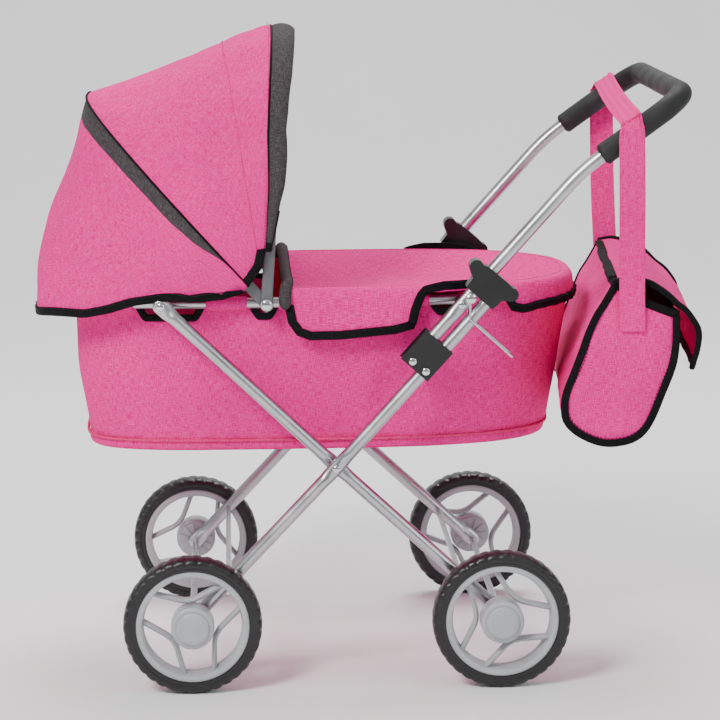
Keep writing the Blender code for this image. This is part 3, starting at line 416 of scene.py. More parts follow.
def sweep(name, path, across, side, sections, look, closed=False, sharp=None):
    """Carries closed outlines along a path: sections is one (a, b) outline or one for each point."""
    path = np.asarray(path, float)
    sections = np.asarray(sections, float)
    if sections.ndim == 2:
        sections = np.broadcast_to(sections, (len(path), *sections.shape))
    rows = path[:, None] + across[:, None] * sections[..., :1] + side[:, None] * sections[..., 1:]
    if closed:
        rows = np.concatenate([rows, rows[:1]])
    outward = ((rows - rows.mean(axis=1, keepdims=True)) * grid_normals(rows, True)).sum()
    verts, faces, uvs = grid_parts(rows, True, outward < 0)
    if not closed:
        count = rows.shape[1]
        low, high = list(range(count)), list(range(len(verts) - count, len(verts)))
        for cap in ((low[::-1], high) if outward >= 0 else (low, high[::-1])):
            faces.append(tuple(cap))
            uvs += [(verts[i][0], verts[i][2]) for i in cap]
    return make(name, verts, faces, look, uvs, sharp=sharp)


def circle(radius, sides):
    turns = turns_of(sides)
    return np.stack([radius * np.cos(turns), radius * np.sin(turns)], axis=1)


def pill(width, thickness, sides=14):
    """A flat outline with rounded edges: wide along a, thin along b."""
    turns = turns_of(sides)
    a = np.sign(np.cos(turns)) * np.abs(np.cos(turns)) ** 0.45 * width / 2
    return np.stack([a, np.sin(turns) * thickness / 2], axis=1)


def tube(name, path, radius, look, lateral=Y, closed=False, sides=20):
    across, side = frames(path, lateral, closed)
    return sweep(name, path, across, side, circle(radius, sides), look, closed)


def band(name, path, normals, width, thickness, look, closed=False, shift=0.0):
    """A flat tape along a path on a surface with those normals, moved sideways by shift."""
    path = np.asarray(path, float)
    along = unit(np.roll(path, -1, axis=0) - np.roll(path, 1, axis=0)) if closed else unit(
        np.gradient(path, axis=0)
    )
    normals = unit(np.broadcast_to(np.asarray(normals, float), path.shape))
    wide = unit(np.cross(along, normals))
    return sweep(
        name, path + wide * shift, wide, np.cross(wide, along), pill(width, thickness), look, closed
    )


def stitches(name, path, normals, look, pitch=0.0034, length=0.0024, radius=0.00032, closed=False):
    """A row of separate raised stitches along a path."""
    path = np.asarray(path, float)
    if closed:
        path = np.vstack([path, path[:1]])
    total = np.linalg.norm(np.diff(path, axis=0), axis=1).sum()
    count = max(int(total / pitch), 2)
    at = resample(
        np.hstack([path, np.broadcast_to(np.asarray(normals, float), path.shape)]) if not closed else path,
        count
    )
    centres = at[:, :3]
    ups = unit(at[:, 3:]) if at.shape[1] > 3 else unit(
        np.broadcast_to(np.asarray(normals, float), centres.shape)
    )
    along = unit(np.gradient(centres, axis=0))
    verts, faces = [], []
    for centre, direction, up in zip(centres, along, ups):
        other = unit(np.cross(direction, up))
        base = len(verts)
        for s, r, lift in ((-0.5, 0.25, -0.2), (-0.3, 1, 0.4), (0.3, 1, 0.4), (0.5, 0.25, -0.2)):
            for turn in range(5):
                angle = 2 * math.pi * turn / 5
                verts.append(
                    centre + direction * s * length
                    + (other * math.cos(angle) * 1.3 + up * (math.sin(angle) + lift)) * radius * r
                )
        for ring in range(3):
            for turn in range(5):
                a, b = base + ring * 5 + turn, base + ring * 5 + (turn + 1) % 5
                faces.append((a, b, b + 5, a + 5))
    return make(
        name, verts, faces, look, [(0.01 * (i % 2), 0.01 * (i // 2 % 2)) for i in range(4 * len(faces))]
    )


def turned(name, outline, centre, look, sides=48, sharp=32):
    """A solid turned about the Y direction through centre, from an outline of (radius, y)."""
    outline = np.asarray(outline, float)
    turns = turns_of(sides)
    ring = np.stack([np.cos(turns), 0 * turns, np.sin(turns)], axis=1)
    rows = np.array([on_plane(centre, y) + ring * max(r, 1e-5) for r, y in outline])
    if outline[0][0] > 0 and outline[-1][0] > 0:
        rows = np.concatenate([rows, rows[:1]])
    middle = (outline[:, 1].max() + outline[:, 1].min()) / 2
    verts, faces, uvs = grid_parts(rows, True)
    obj = make(name, verts, faces, look, uvs, sharp=sharp)
    area = np.array([polygon.area for polygon in obj.data.polygons])
    normals = np.array([polygon.normal for polygon in obj.data.polygons])
    centres = np.array([polygon.center for polygon in obj.data.polygons])
    # The signed volume is positive when the faces point outwards.
    if float((area * ((centres - on_plane(centre, middle)) * normals).sum(axis=1)).sum()) < 0:
        obj.data.flip_normals()
    return obj


def rounded(outline, radius, steps=3):
    """An outline of (radius, y) with its inner corners rounded."""
    outline = [np.array(p, float) for p in outline]
    made = [outline[0]]
    for before, corner, after in zip(outline, outline[1:], outline[2:]):
        cut = min(radius, 0.45 * np.linalg.norm(before - corner), 0.45 * np.linalg.norm(after - corner))
        a = corner + unit(before - corner) * cut
        b = corner + unit(after - corner) * cut
        for t in np.linspace(0, 1, steps + 1):
            made.append(lerp(lerp(a, corner, t), lerp(corner, b, t), t))
    return made + [outline[-1]]


def soften_edges(obj, width):
    soft = obj.modifiers.new("edges", "BEVEL")
    soft.width = width
    soft.segments = 3
    soft.limit_method = "ANGLE"
    soft.angle_limit = math.radians(30)
    return obj


def prism(name, corners, y_from, y_to, look, bevel=0.0006):
    """A plate with the given (x, z) corners between two y, its edges rounded."""
    count = len(corners)
    verts = [(c[0], y_from, c[-1]) for c in corners] + [(c[0], y_to, c[-1]) for c in corners]
    faces = [tuple(range(count)), tuple(reversed(range(count, 2 * count)))]
    faces += [(i, i + count, (i + 1) % count + count, (i + 1) % count) for i in range(count)]
    uvs = [(verts[i][0], verts[i][2]) for face in faces for i in face]
    return soften_edges(make(name, verts, faces, look, uvs, sharp=35), bevel)


def joined(name, objects):
    """Several objects as one mesh."""
    with bpy.context.temp_override(active_object=objects[0], selected_editable_objects=objects):
        bpy.ops.object.join()
    objects[0].name = name
    return objects[0]


def applied(obj):
    """Its modifiers made part of its mesh."""
    graph = bpy.context.evaluated_depsgraph_get()
    mesh = bpy.data.meshes.new_from_object(obj.evaluated_get(graph))
    obj.modifiers.clear()
    obj.data = mesh
    return obj


def finish_piece(obj, body, slot=None, *nodes):
    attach(obj, body)
    if nodes:
        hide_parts(*nodes)
    return obj


def named(name, side):
    return name + ("_left" if side < 0 else "_right")


def side_sign(path, normals, index, inward):
    """1 or -1: the side of a tape along the path that lies towards inward, at that point."""
    wide = np.cross(np.gradient(path, axis=0), normals)
    return 1 if float((wide[index] * inward).sum()) > 0 else -1


# ---------------------------------------------------------------- wheels


def polar(radius, angle):
    return np.array((radius * math.cos(angle), 0, radius * math.sin(angle)))


def make_wheel(end, side, axle, spin):
    """Rim, three V spokes, ribbed hub; tyre with moulded blocks; hub cap."""
    label = named(end, side)
    body = label + "_wheel"
    centre = on_plane(axle, side * WHEEL_Y)

    def lathe(name, outline, look, radius=0.0008, sides=72):
        outline = rounded([(r, centre[1] + side * y) for r, y in outline], radius)
        return turned(name, outline, centre, look, sides)

    rim = [
        (0.0445, 0.0), (0.0445, -0.0100), (0.0490, -0.0112), (0.0513, -0.0105), (0.0513, 0.0105),
        (0.0490, 0.0112), (0.0455, 0.0108), (0.0445, 0.0)
    ]
    hub = [
        (0.0033, 0.0), (0.0033, -0.0112), (0.0172, -0.0112), (0.0172, -0.0060), (0.0195, -0.0050),
        (0.0195, 0.0150), (0.0172, 0.0166), (0.0033, 0.0166), (0.0033, 0.0)
    ]
    lip = [
        (0.0440, 0.0), (0.0440, -0.0012), (0.0462, -0.0012), (0.0462, 0.0012), (0.0440, 0.0012),
        (0.0440, 0.0)
    ]
    parts = [
        lathe("rim_" + label, rim, WHEEL), lathe("hub_" + label, hub, WHEEL, 0.0012),
        lathe("lip_" + label, lip, WHEEL)
    ]
    for third in range(3):
        middle = side * math.radians(97 + 120 * third) + (math.pi if side < 0 else 0) - spin
        tip = centre + polar(0.0212, middle)
        ends = [centre + polar(0.0462, middle + sign * math.radians(43)) for sign in (-1, 1)]
        into = [lerp(tip, stop, 0.30) for stop in ends]
        corner = [lerp(lerp(into[0], tip, t), lerp(tip, into[1], t), t) for t in np.linspace(0, 1, 13)]
        path = resample([ends[0], *corner, ends[1]], 60)
        over, sideways = frames(path, Y)
        for thick, deep in ((0.0048, 0.0094), (0.0018, 0.0118)):
            section = pill(deep, thick, 20)[:, ::-1]
            parts.append(sweep("spoke", path + Y * side * 0.001, over, sideways, section, WHEEL))
    for rib in range(12):
        angle = 2 * math.pi * rib / 12 - spin
        over = polar(1, angle + math.pi / 2)
        a, b = centre + polar(0.0060, angle), centre + polar(0.0168, angle)
        inner = centre[1] - side * 0.0112
        corners = [a - over * 0.0006, b - over * 0.0009, b + over * 0.0009, a + over * 0.0006]
        parts.append(applied(prism("slot", corners, inner, inner - side * 0.0012, WHEEL, 0.0002)))
    finish_piece(joined("wheel_" + label + "_moulding", parts), body, "grey_plastic", "wheel_" + label)

    turns = turns_of(216)
    # Radius, y, and how deep the grooves between the blocks are there.
    profile = [(0.0512, -0.0114, 0), (0.0538, -0.0117, 0), (0.0544, -0.0110, 0), (0.0550, -0.0117, 0)]
    profile += [(0.0580, -0.0117, 0.3), (0.0604, -0.0108, 1), (0.0618, -0.0090, 1), (0.0624, -0.0066, 0.9)]
    profile += [(0.0625, -0.0040, 0.25), (0.0625, -0.0014, 0.0)]
    profile += [(r, -y, k) for r, y, k in reversed(profile)]
    rows = []
    for r, y, k in profile:
        wave = np.sin(36 * (turns + spin) + (2.88 if y > 0 else 0) + 90 * abs(y))
        groove = np.clip((wave - 0.45) / 0.35, 0, 1)
        radius = r - 0.0011 * k * groove
        across = 0 * turns + centre[1] + y - math.copysign(0.0006, y) * k * groove
        around = (centre[0] + radius * np.cos(turns), across, centre[2] + radius * np.sin(turns))
        rows.append(np.stack(around, axis=1))
    tyre = cloth("tyre_" + label + "_blocks", rows, TYRE, thickness=0, closed=True, inside=centre)
    finish_piece(tyre, body, "tyre", "tyre_" + label)
    cap = [
        (0.0, 0.0200), (0.0060, 0.0200), (0.0125, 0.0196), (0.0150, 0.0184), (0.0150, 0.0166), (0.0, 0.0166)
    ]
    ring = lathe("hub_cap_" + label + "_dome", cap, WHEEL, 0.0010)
    finish_piece(ring, body, "grey_plastic", "hub_cap_" + label)


# ---------------------------------------------------------------- frame


def flattened(name, path, flats, end_narrow):
    """A round tube that is pressed flat at each (centre, in-plane, sideways) of flats."""
    path = np.asarray(path, float)
    across, side = frames(path, Y)
    a = np.full(len(path), TUBE)
    b = np.full(len(path), TUBE)
    for centre, flat_a, flat_b in flats:
        w = 1 - step01((np.linalg.norm(path - centre, axis=1) - 0.0075) / 0.0085)
        a = lerp(a, flat_a, w)
        b = lerp(b, flat_b, w)
    for end, wanted in zip((0, -1), end_narrow):
        if wanted:
            reach = np.linalg.norm(path - path[end], axis=1)
            a = a * rounding(reach, 0.0060, 0.03)
            b = b * lerp(0.8, 1, np.clip(reach / 0.002, 0, 1))
    return sweep(name, path, across, side, ovals(a, b, 24), SILVER)


def front_leg_top():
    return BRACKET_PIVOT + ALONG * 0.0846 - ACROSS * 0.0153


def bracket_rivet():
    upper = unit(front_leg_top() - LEG_CROSSING)
    return LEG_CROSSING + upper * ((BRACKET_PIVOT - LEG_CROSSING).dot(upper) + 0.0010)


def leg(end, side, bottom, top, y, past, flats, narrow):
    """A tube from an axle through the crossing, ending past its top. Both ends may be rounded off."""
    y *= side
    low, high = unit(bottom - LEG_CROSSING), unit(top - LEG_CROSSING)
    corner = [bottom + low * 0.0075, LEG_CROSSING + low * 0.010, LEG_CROSSING]
    corner += [LEG_CROSSING + high * 0.010, top + high * past]
    path = resample([on_plane(p, y) for p in corner], 150)
    path[3:-3] = (path[1:-5] + path[2:-4] + path[3:-3] + path[4:-2] + path[5:-1]) / 5
    flats = [(on_plane(c, y), a, b) for c, a, b in flats]
    made = flattened(named(end + "_leg_tube", side), path, flats, narrow)
    finish_piece(made, end + "_legs", "painted_tube", named(end + "_leg", side))


def rivet(name, centre, side, y_from, y_to, body, cad, head=0.0036, washer=None, inner=True):
    seat = y_to - 0.0022
    outline = [(0.0, y_from)]
    outline += [(head, y_from), (head, y_from + 0.0012), (0.0023, y_from + 0.0012)] if inner else [
        (0.0023, y_from)
    ]
    outline += [(0.0023, seat)]
    if washer:
        outline += [(washer, seat - 0.0002), (washer, seat + 0.0006), (head, seat + 0.0006)]
    else:
        outline += [(head, seat)]
    dome = [
        (head * math.cos(t), seat + 0.0008 + (y_to - seat - 0.0008) * math.sin(t))
        for t in np.linspace(0, math.pi / 2, 7)
    ]
    outline = [(r, side * y) for r, y in outline + dome]
    obj = turned(name, outline, centre, CHROME, 36)
    return finish_piece(obj, body, "chrome_rivet", cad)


def handle_path():
    base = CROSSBAR - BRACKET_PIVOT
    cross = ALONG[0] * GRIP_ALONG[2] - ALONG[2] * GRIP_ALONG[0]
    meet = BRACKET_PIVOT + ALONG * ((base[0] * GRIP_ALONG[2] - base[2] * GRIP_ALONG[0]) / cross)
    arm = [BRACKET_PIVOT - ALONG * 0.0045, meet - ALONG * 0.022]
    for t in np.linspace(0, 1, 9):
        arm.append(lerp(lerp(meet - ALONG * 0.022, meet, t), lerp(meet, meet + GRIP_ALONG * 0.022, t), t))
    corner = 0.030
    inward = FRONT_LEG_Y - corner
    start = CROSSBAR - GRIP_ALONG * corner
    left = [on_plane(p, -FRONT_LEG_Y) for p in arm]
    for t in np.linspace(0, math.pi / 2, 14):
        left.append(on_plane(start, -inward) - Y * corner * math.cos(t) + GRIP_ALONG * corner * math.sin(t))
    right = [p * (1, -1, 1) for p in reversed(left)]
    return np.array(left + right)


def make_frame():
    """Legs, rivets, rods, handle and grip, and the looks of the small CAD parts that stay."""
    up_front, up_rear = unit(LEG_CROSSING - FRONT_AXLE), unit(LEG_CROSSING - REAR_AXLE)
    for side in (-1, 1):
        flats = [(REAR_AXLE, 0.0076, 0.0033), (LEG_CROSSING, 0.0066, 0.0046), (FRONT_PIVOT, 0.0074, 0.0033)]
        leg("rear", side, REAR_AXLE, FRONT_PIVOT, REAR_LEG_Y, 0.0070, flats, (True, True))
        flats = [(FRONT_AXLE, 0.0076, 0.0033), (LEG_CROSSING, 0.0066, 0.0046)]
        leg("front", side, FRONT_AXLE, front_leg_top(), FRONT_LEG_Y, 0.0, flats, (True, False))
        face = RAIL_Y + RAIL + 0.0003
        plain = {"inner": False}
        hood_washer = {"head": 0.0046, "washer": 0.0052, "inner": False}
        for name, cad, at, y_from, y_to, body, options in (
            ("crossing", "crossing_rivet", LEG_CROSSING, 0.1436, 0.1563, "front_legs", plain),
            ("bracket_pivot", "bracket_pivot", BRACKET_PIVOT, 0.1389, 0.1600, "front_legs", {}),
            ("bracket_rivet", "bracket_rivet", bracket_rivet(), 0.1389, 0.1600, "front_legs", {}),
            ("leg_pivot", "leg_pivot", FRONT_PIVOT, face, 0.1423, "carrycot", plain),
            ("handle_pivot", "handle_pivot", REAR_PIVOT, face, 0.1563, "carrycot", plain),
            ("hood_pivot", "hood_pivot", HOOD_PIVOT, face, 0.1412, "carrycot", hood_washer),
        ):
            rivet(named(name + "_dome", side), at, side, y_from, y_to, body, named(cad, side), **options)
        for name, cad, at, inner, outer, y_from, y_to, body in (
            ("bush_ring", "pivot_bush", REAR_PIVOT, 0.0027, 0.0052, 0.1305, 0.1438, "carrycot"),
            ("spacer_ring", "axle_spacer", REAR_AXLE, 0.0033, 0.0055, 0.1402, 0.1557, "rear_legs"),
        ):
            ring = rounded([(inner, y_from), (outer, y_from), (outer, y_to), (inner, y_to)], 0.0006)
            ring = turned(named(name, side), [(r, side * y) for r, y in ring], at, BLACK, 32)
            finish_piece(ring, body, "black_plastic", named(cad, side))
    axle_reach = WHEEL_Y + 0.0155
    front_bar, rear_bar = FRONT_AXLE + up_front * 0.0480, REAR_AXLE + up_rear * 0.0480
    for name, cad, at, reach, radius, body in (
        ("front_axle_rod", "front_axle", FRONT_AXLE, axle_reach, 0.0030, "front_legs"),
        ("rear_axle_rod", "rear_axle", REAR_AXLE, axle_reach, 0.0030, "rear_legs"),
        ("front_cross_bar", "front_cross_rod", front_bar, FRONT_LEG_Y - 0.0063, 0.0025, "front_legs"),
        ("rear_cross_bar", "rear_cross_rod", rear_bar, REAR_LEG_Y - 0.0063, 0.0025, "rear_legs"),
    ):
        ends = [on_plane(at, -reach), on_plane(at, reach)]
        rod = tube(name, resample(ends, 12), radius, SILVER, (1, 0, 0))
        finish_piece(rod, body, "painted_tube", cad)
    path = resample(handle_path(), 420)
    flats = []
    for side in (-1, 1):
        for pin, a, b in (
            (BRACKET_PIVOT, 0.0056, 0.0048), (REAR_PIVOT, 0.0062, 0.0048), (BAIL_PIVOT, 0.0062, 0.0048)
        ):
            flats.append((on_plane(pin, side * FRONT_LEG_Y), a, b))
    finish_piece(
        flattened("handle_bow", path, flats, (True, True)), "handle", "painted_tube", "handle_tube"
    )
    sleeve = path[path[:, 0] > MID_X + 0.2290]
    across, side = frames(sleeve, Y)
    radius = lerp(0.0068, 0.0100, rounding(end_distance(sleeve), 0.0028, 0))
    radius = radius + 0.00022 * wander(sleeve, 70)
    grip = sweep("grip_sleeve", sleeve, across, side, ovals(radius, radius, 28), FOAM)
    finish_piece(grip, "handle", "foam", "handle_grip")
    for cad, look in (
        ("fold_bracket", BLACK), ("slide_latch", BLACK), ("wire_bail", CHROME), ("bail_rivet", CHROME)
    ):
        for obj in [o for o in frame["nodes"].values() if o.name.startswith(cad)]:
            for material_slot in obj.material_slots:
                material_slot.link = "OBJECT"
                material_slot.material = look
            if look is BLACK:
                soften_edges(obj, 0.0008)


# ---------------------------------------------------------------- carrycot


def oval(head, foot, half, z, count):
    turns = turns_of(count)
    along, across = np.cos(turns), np.sin(turns)
    power = np.where(along > 0, 2 / 2.7, 2 / 4.6)
    x = np.sign(along) * np.where(along > 0, foot, -head) * np.abs(along) ** power
    y = np.sign(across) * half * np.abs(across) ** power
    return np.stack([x + MID_X, y, np.full(count, float(z)) if np.isscalar(z) else z], axis=1)


def even_oval(head, foot, half, z, count):
    return resample(oval(head, foot, half, z, 720), count, closed=True)


def cot_outline(level, inset, count=240):
    head = lerp(-0.2335, -0.2455, level) + inset
    foot = lerp(0.1933, 0.2175, level) - inset
    half = lerp(0.1050, 0.1235, level) - inset
    return even_oval(head, foot, half, COT_BOTTOM + 0.1335 * level, count)


def notch_drop(x):
    """How far the cot's top edge drops at each x, for the pivots."""
    drop = np.zeros_like(x)
    for low, high, floor in NOTCHES:
        inside = step01((x - MID_X - low) / 0.012) * step01((high - (x - MID_X)) / 0.012)
        drop = np.maximum(drop, (COT_EDGE - floor) * inside)
    return drop


def cot_edge(offset=0.0, count=240):
    ring = cot_outline(1, -offset, count)
    ring[:, 2] = COT_EDGE - notch_drop(ring[:, 0]) * (np.abs(ring[:, 1]) > 0.09)
    return ring


def spine_of(ring):
    """The line along the cot's middle that a floor's ring closes on."""
    along = np.clip(ring[:, 0], MID_X - 0.13, MID_X + 0.10)
    return np.stack([along, 0 * along, ring[:, 2]], axis=1)


def make_rail():
    """The tube round the cot, bare in the notches and in a fabric sleeve between them."""
    rail = even_oval(-0.2435, 0.2115, RAIL_Y, RAIL_Z, 300)
    finish_piece(
        tube("rail_tube", rail, RAIL, SILVER, (0, 0, 1), True, 24), "carrycot", "painted_tube", "cot_rail"
    )
    shown = np.ones(len(rail), bool)
    for low, high, _ in NOTCHES:
        shown &= ~((rail[:, 0] - MID_X > low + 0.003) & (rail[:, 0] - MID_X < high - 0.003))
    start = int(np.where(~shown)[0][0])
    order = np.roll(np.arange(len(rail)), -start)
    runs, run = [], []
    for index in order:
        if shown[index]:
            run.append(index)
        elif run:
            runs.append(run)
            run = []
    if run:
        runs.append(run)
    for count, run in enumerate(runs):
        path = rail[run]
        across, side = frames(path, (0, 0, 1))
        radius = 0.0062 + 0.0003 * wander(path, 60)
        sleeve = sweep("rail_sleeve_" + str(count), path, across, side, ovals(radius, radius, 20), PINK)
        finish_piece(sleeve, "carrycot", "pink_fabric")


def make_cot():
    """Wall, floor and lining in one shell, with its piping, stitches, notch tapes and rail."""
    bottom = cot_outline(0, 0.004)
    rows = [lerp(spine_of(bottom), bottom, share) for share in (0.0, 0.5, 0.85)]
    rows.append(bottom)
    edge = cot_edge()
    middle = np.array((MID_X, 0, 0.28))
    levels = [
        0.012, 0.035, 0.060, COT_SEAM_LEVEL, 0.097, 0.13, 0.20, 0.30, 0.40, 0.50, 0.60, 0.70, 0.79, 0.87,
        0.94, 0.985
    ]
    for level in levels:
        ring = cot_outline(level, 0)
        ring[:, 2] = lerp(COT_BOTTOM, edge[:, 2], level)
        outward = unit((ring - middle) * (0.55, 1, 0))
        swell = 0.0019 * math.sin(math.pi * min(max((level - 0.08) / 0.92, 0), 1))
        swell -= 0.0011 if level == COT_SEAM_LEVEL else 0.0
        ridges = 0.45 - 2.2 * np.abs(wander(ring * (1, 1, 0.5), 15, 3.0))
        folds = 0.0026 * ridges + 0.0010 * wander(ring * (1, 1, 0.6), 60, 9.0)
        near_seam = math.exp(-((level - 0.14) / 0.10) ** 2)
        puckers = 0.0007 * np.sin((ring[:, 0] - ring[:, 1]) * 420 + 3 * wander(ring, 20)) * near_seam
        below_edge = 1 - 0.6 * step01((level - 0.86) / 0.12)
        amount = swell + (folds + puckers) * step01((level - 0.02) / 0.1) * below_edge
        rows.append(ring + outward * amount[:, None])
    rows.append(edge)
    for level in (0.985, 0.93, 0.80, 0.60, 0.40, 0.20, 0.08):
        ring = cot_outline(level, 0.0032)
        ring[:, 2] = lerp(0.2103, edge[:, 2], level)
        inward = unit((middle - ring) * (0.55, 1, 0))
        rows.append(ring + inward * (0.0008 + 0.0016 * np.abs(wander(ring, 30, 5.0)))[:, None])
    floor = cot_outline(0.03, 0.0040)
    floor[:, 2] = COT_FLOOR
    rows.append(floor)
    rows += [lerp(floor, spine_of(floor), 0.6), spine_of(floor)]
    looks = [0] * 21 + [1] * (len(rows) - 22)
    below = (MID_X, 0, 0.10)
    shell = cloth("cot_shell", rows, [PINK, LINING], 0, closed=True, inside=below, row_looks=looks)
    orient_outward(shell, 4 * 240, 18 * 240, middle)
    finish_piece(shell, "carrycot", "pink_fabric", "cot_body")
    extras = []
    seam = cot_outline(COT_SEAM_LEVEL, -0.0006, 400)
    extras.append(tube("cot_piping", seam, 0.0013, THREAD, (0, 0, 1), True, 10))
    above = cot_outline(0.1010, -0.0010, 400)
    extras.append(stitches("cot_stitches", above, (0, 0, 1), THREAD, closed=True))
    for side in (-1, 1):
        for index, (low, high, _) in enumerate(NOTCHES):
            ring = cot_edge(0.0008, 900)
            x = ring[:, 0] - MID_X
            path = ring[(x > low - 0.0035) & (x < high + 0.0035) & (ring[:, 1] * side > 0)]
            path = resample(path[np.argsort(path[:, 0])], 60)
            name = named("cot_notch_tape_" + str(index), side)
            tape = band(name, path, (0, side, 0), 0.0066, 0.0024, TAPE, shift=side * 0.0018)
            extras.append(tape)
    for piece in extras:
        finish_piece(piece, "carrycot", "pink_fabric" if "notch" not in piece.name else "grey_fabric")
    make_rail()
    return shell


def orient_outward(obj, first, last, middle):
    """Flips the mesh when its outer wall, vertices first to last, faces inwards."""
    total = 0.0
    for polygon in obj.data.polygons:
        if first <= polygon.vertices[0] < last:
            total += polygon.area * float(
                np.dot(np.array(polygon.center) - middle, np.array(polygon.normal))
            )
    if total < 0:
        obj.data.flip_normals()


def make_pad():
    """The padded base, a low cushion over the stiff board. Cloth simulation fills it out."""
    rings = []
    for inset, z in (
        (0.030, 0.2109), (0.0095, 0.2109), (0.0065, 0.2140), (0.0085, 0.2178), (0.030, 0.2195)
    ):
        ring = cot_outline(0.05, inset, 120)
        ring[:, 2] = z
        rings.append(ring)
    low = spine_of(rings[0])
    high = low * (1, 1, 0) + (0, 0, 0.2198)
    pad = cloth("floor_pad", [low] + rings + [high], LINING, thickness=0, closed=True, levels=0)
    orient_outward(pad, 0, 10**6, np.array((MID_X, 0, 0.2150)))
    simulate(pad, 0.0050, 0.0035)
    smooth = pad.modifiers.new("smooth", "SUBSURF")
    smooth.levels = smooth.render_levels = 1
    finish_piece(pad, "carrycot", "board", "base_board")


def simulate(obj, voxel, most):
    """Remeshes a closed cushion and lets cloth pressure round it, by at most that many metres."""
    remesh = obj.modifiers.new("remesh", "REMESH")
    remesh.mode = "VOXEL"
    remesh.voxel_size = voxel
    applied(obj)
    before = np.array([v.co for v in obj.data.vertices])
    cloth_modifier = obj.modifiers.new("cloth", "CLOTH")
    settings = cloth_modifier.settings
    settings.use_pressure = True
    settings.uniform_pressure_force = 4.0
    settings.effector_weights.gravity = 0.0
    settings.quality = 5
    settings.shrink_min = -0.03
    scene = bpy.context.scene
    cloth_modifier.point_cache.frame_start = 1
    cloth_modifier.point_cache.frame_end = 20
    for number in range(1, 21):
        scene.frame_set(number)
    graph = bpy.context.evaluated_depsgraph_get()
    after = np.array([v.co for v in obj.evaluated_get(graph).data.vertices])
    obj.modifiers.clear()
    scene.frame_set(1)
    move = after - before
    far = np.linalg.norm(move, axis=1, keepdims=True)
    move *= np.minimum(1, most / np.maximum(far, 1e-9))
    moved = before + move
    moved[:, 2] = np.maximum(moved[:, 2], 0.2108)
    obj.data.vertices.foreach_set("co", moved.ravel())
    obj.data.shade_smooth()
    obj.data.update()


# ---------------------------------------------------------------- boot cover

HEM = [
    (-0.0520, 0.3470), (-0.0505, 0.3320), (-0.0416, 0.3190), (-0.0300, 0.3145), (-0.0031, 0.3147),
    (0.0464, 0.3190)
]
HEM += [
    (0.0640, 0.3232), (0.0665, 0.3300), (0.0690, 0.3417), (0.0751, 0.3545), (0.0916, 0.3580),
    (0.1180, 0.3585)
]
HEM += [
    (0.1330, 0.3560), (0.1438, 0.3479), (0.1500, 0.3355), (0.1600, 0.3325), (0.1800, 0.3350),
    (0.2250, 0.3370)
]


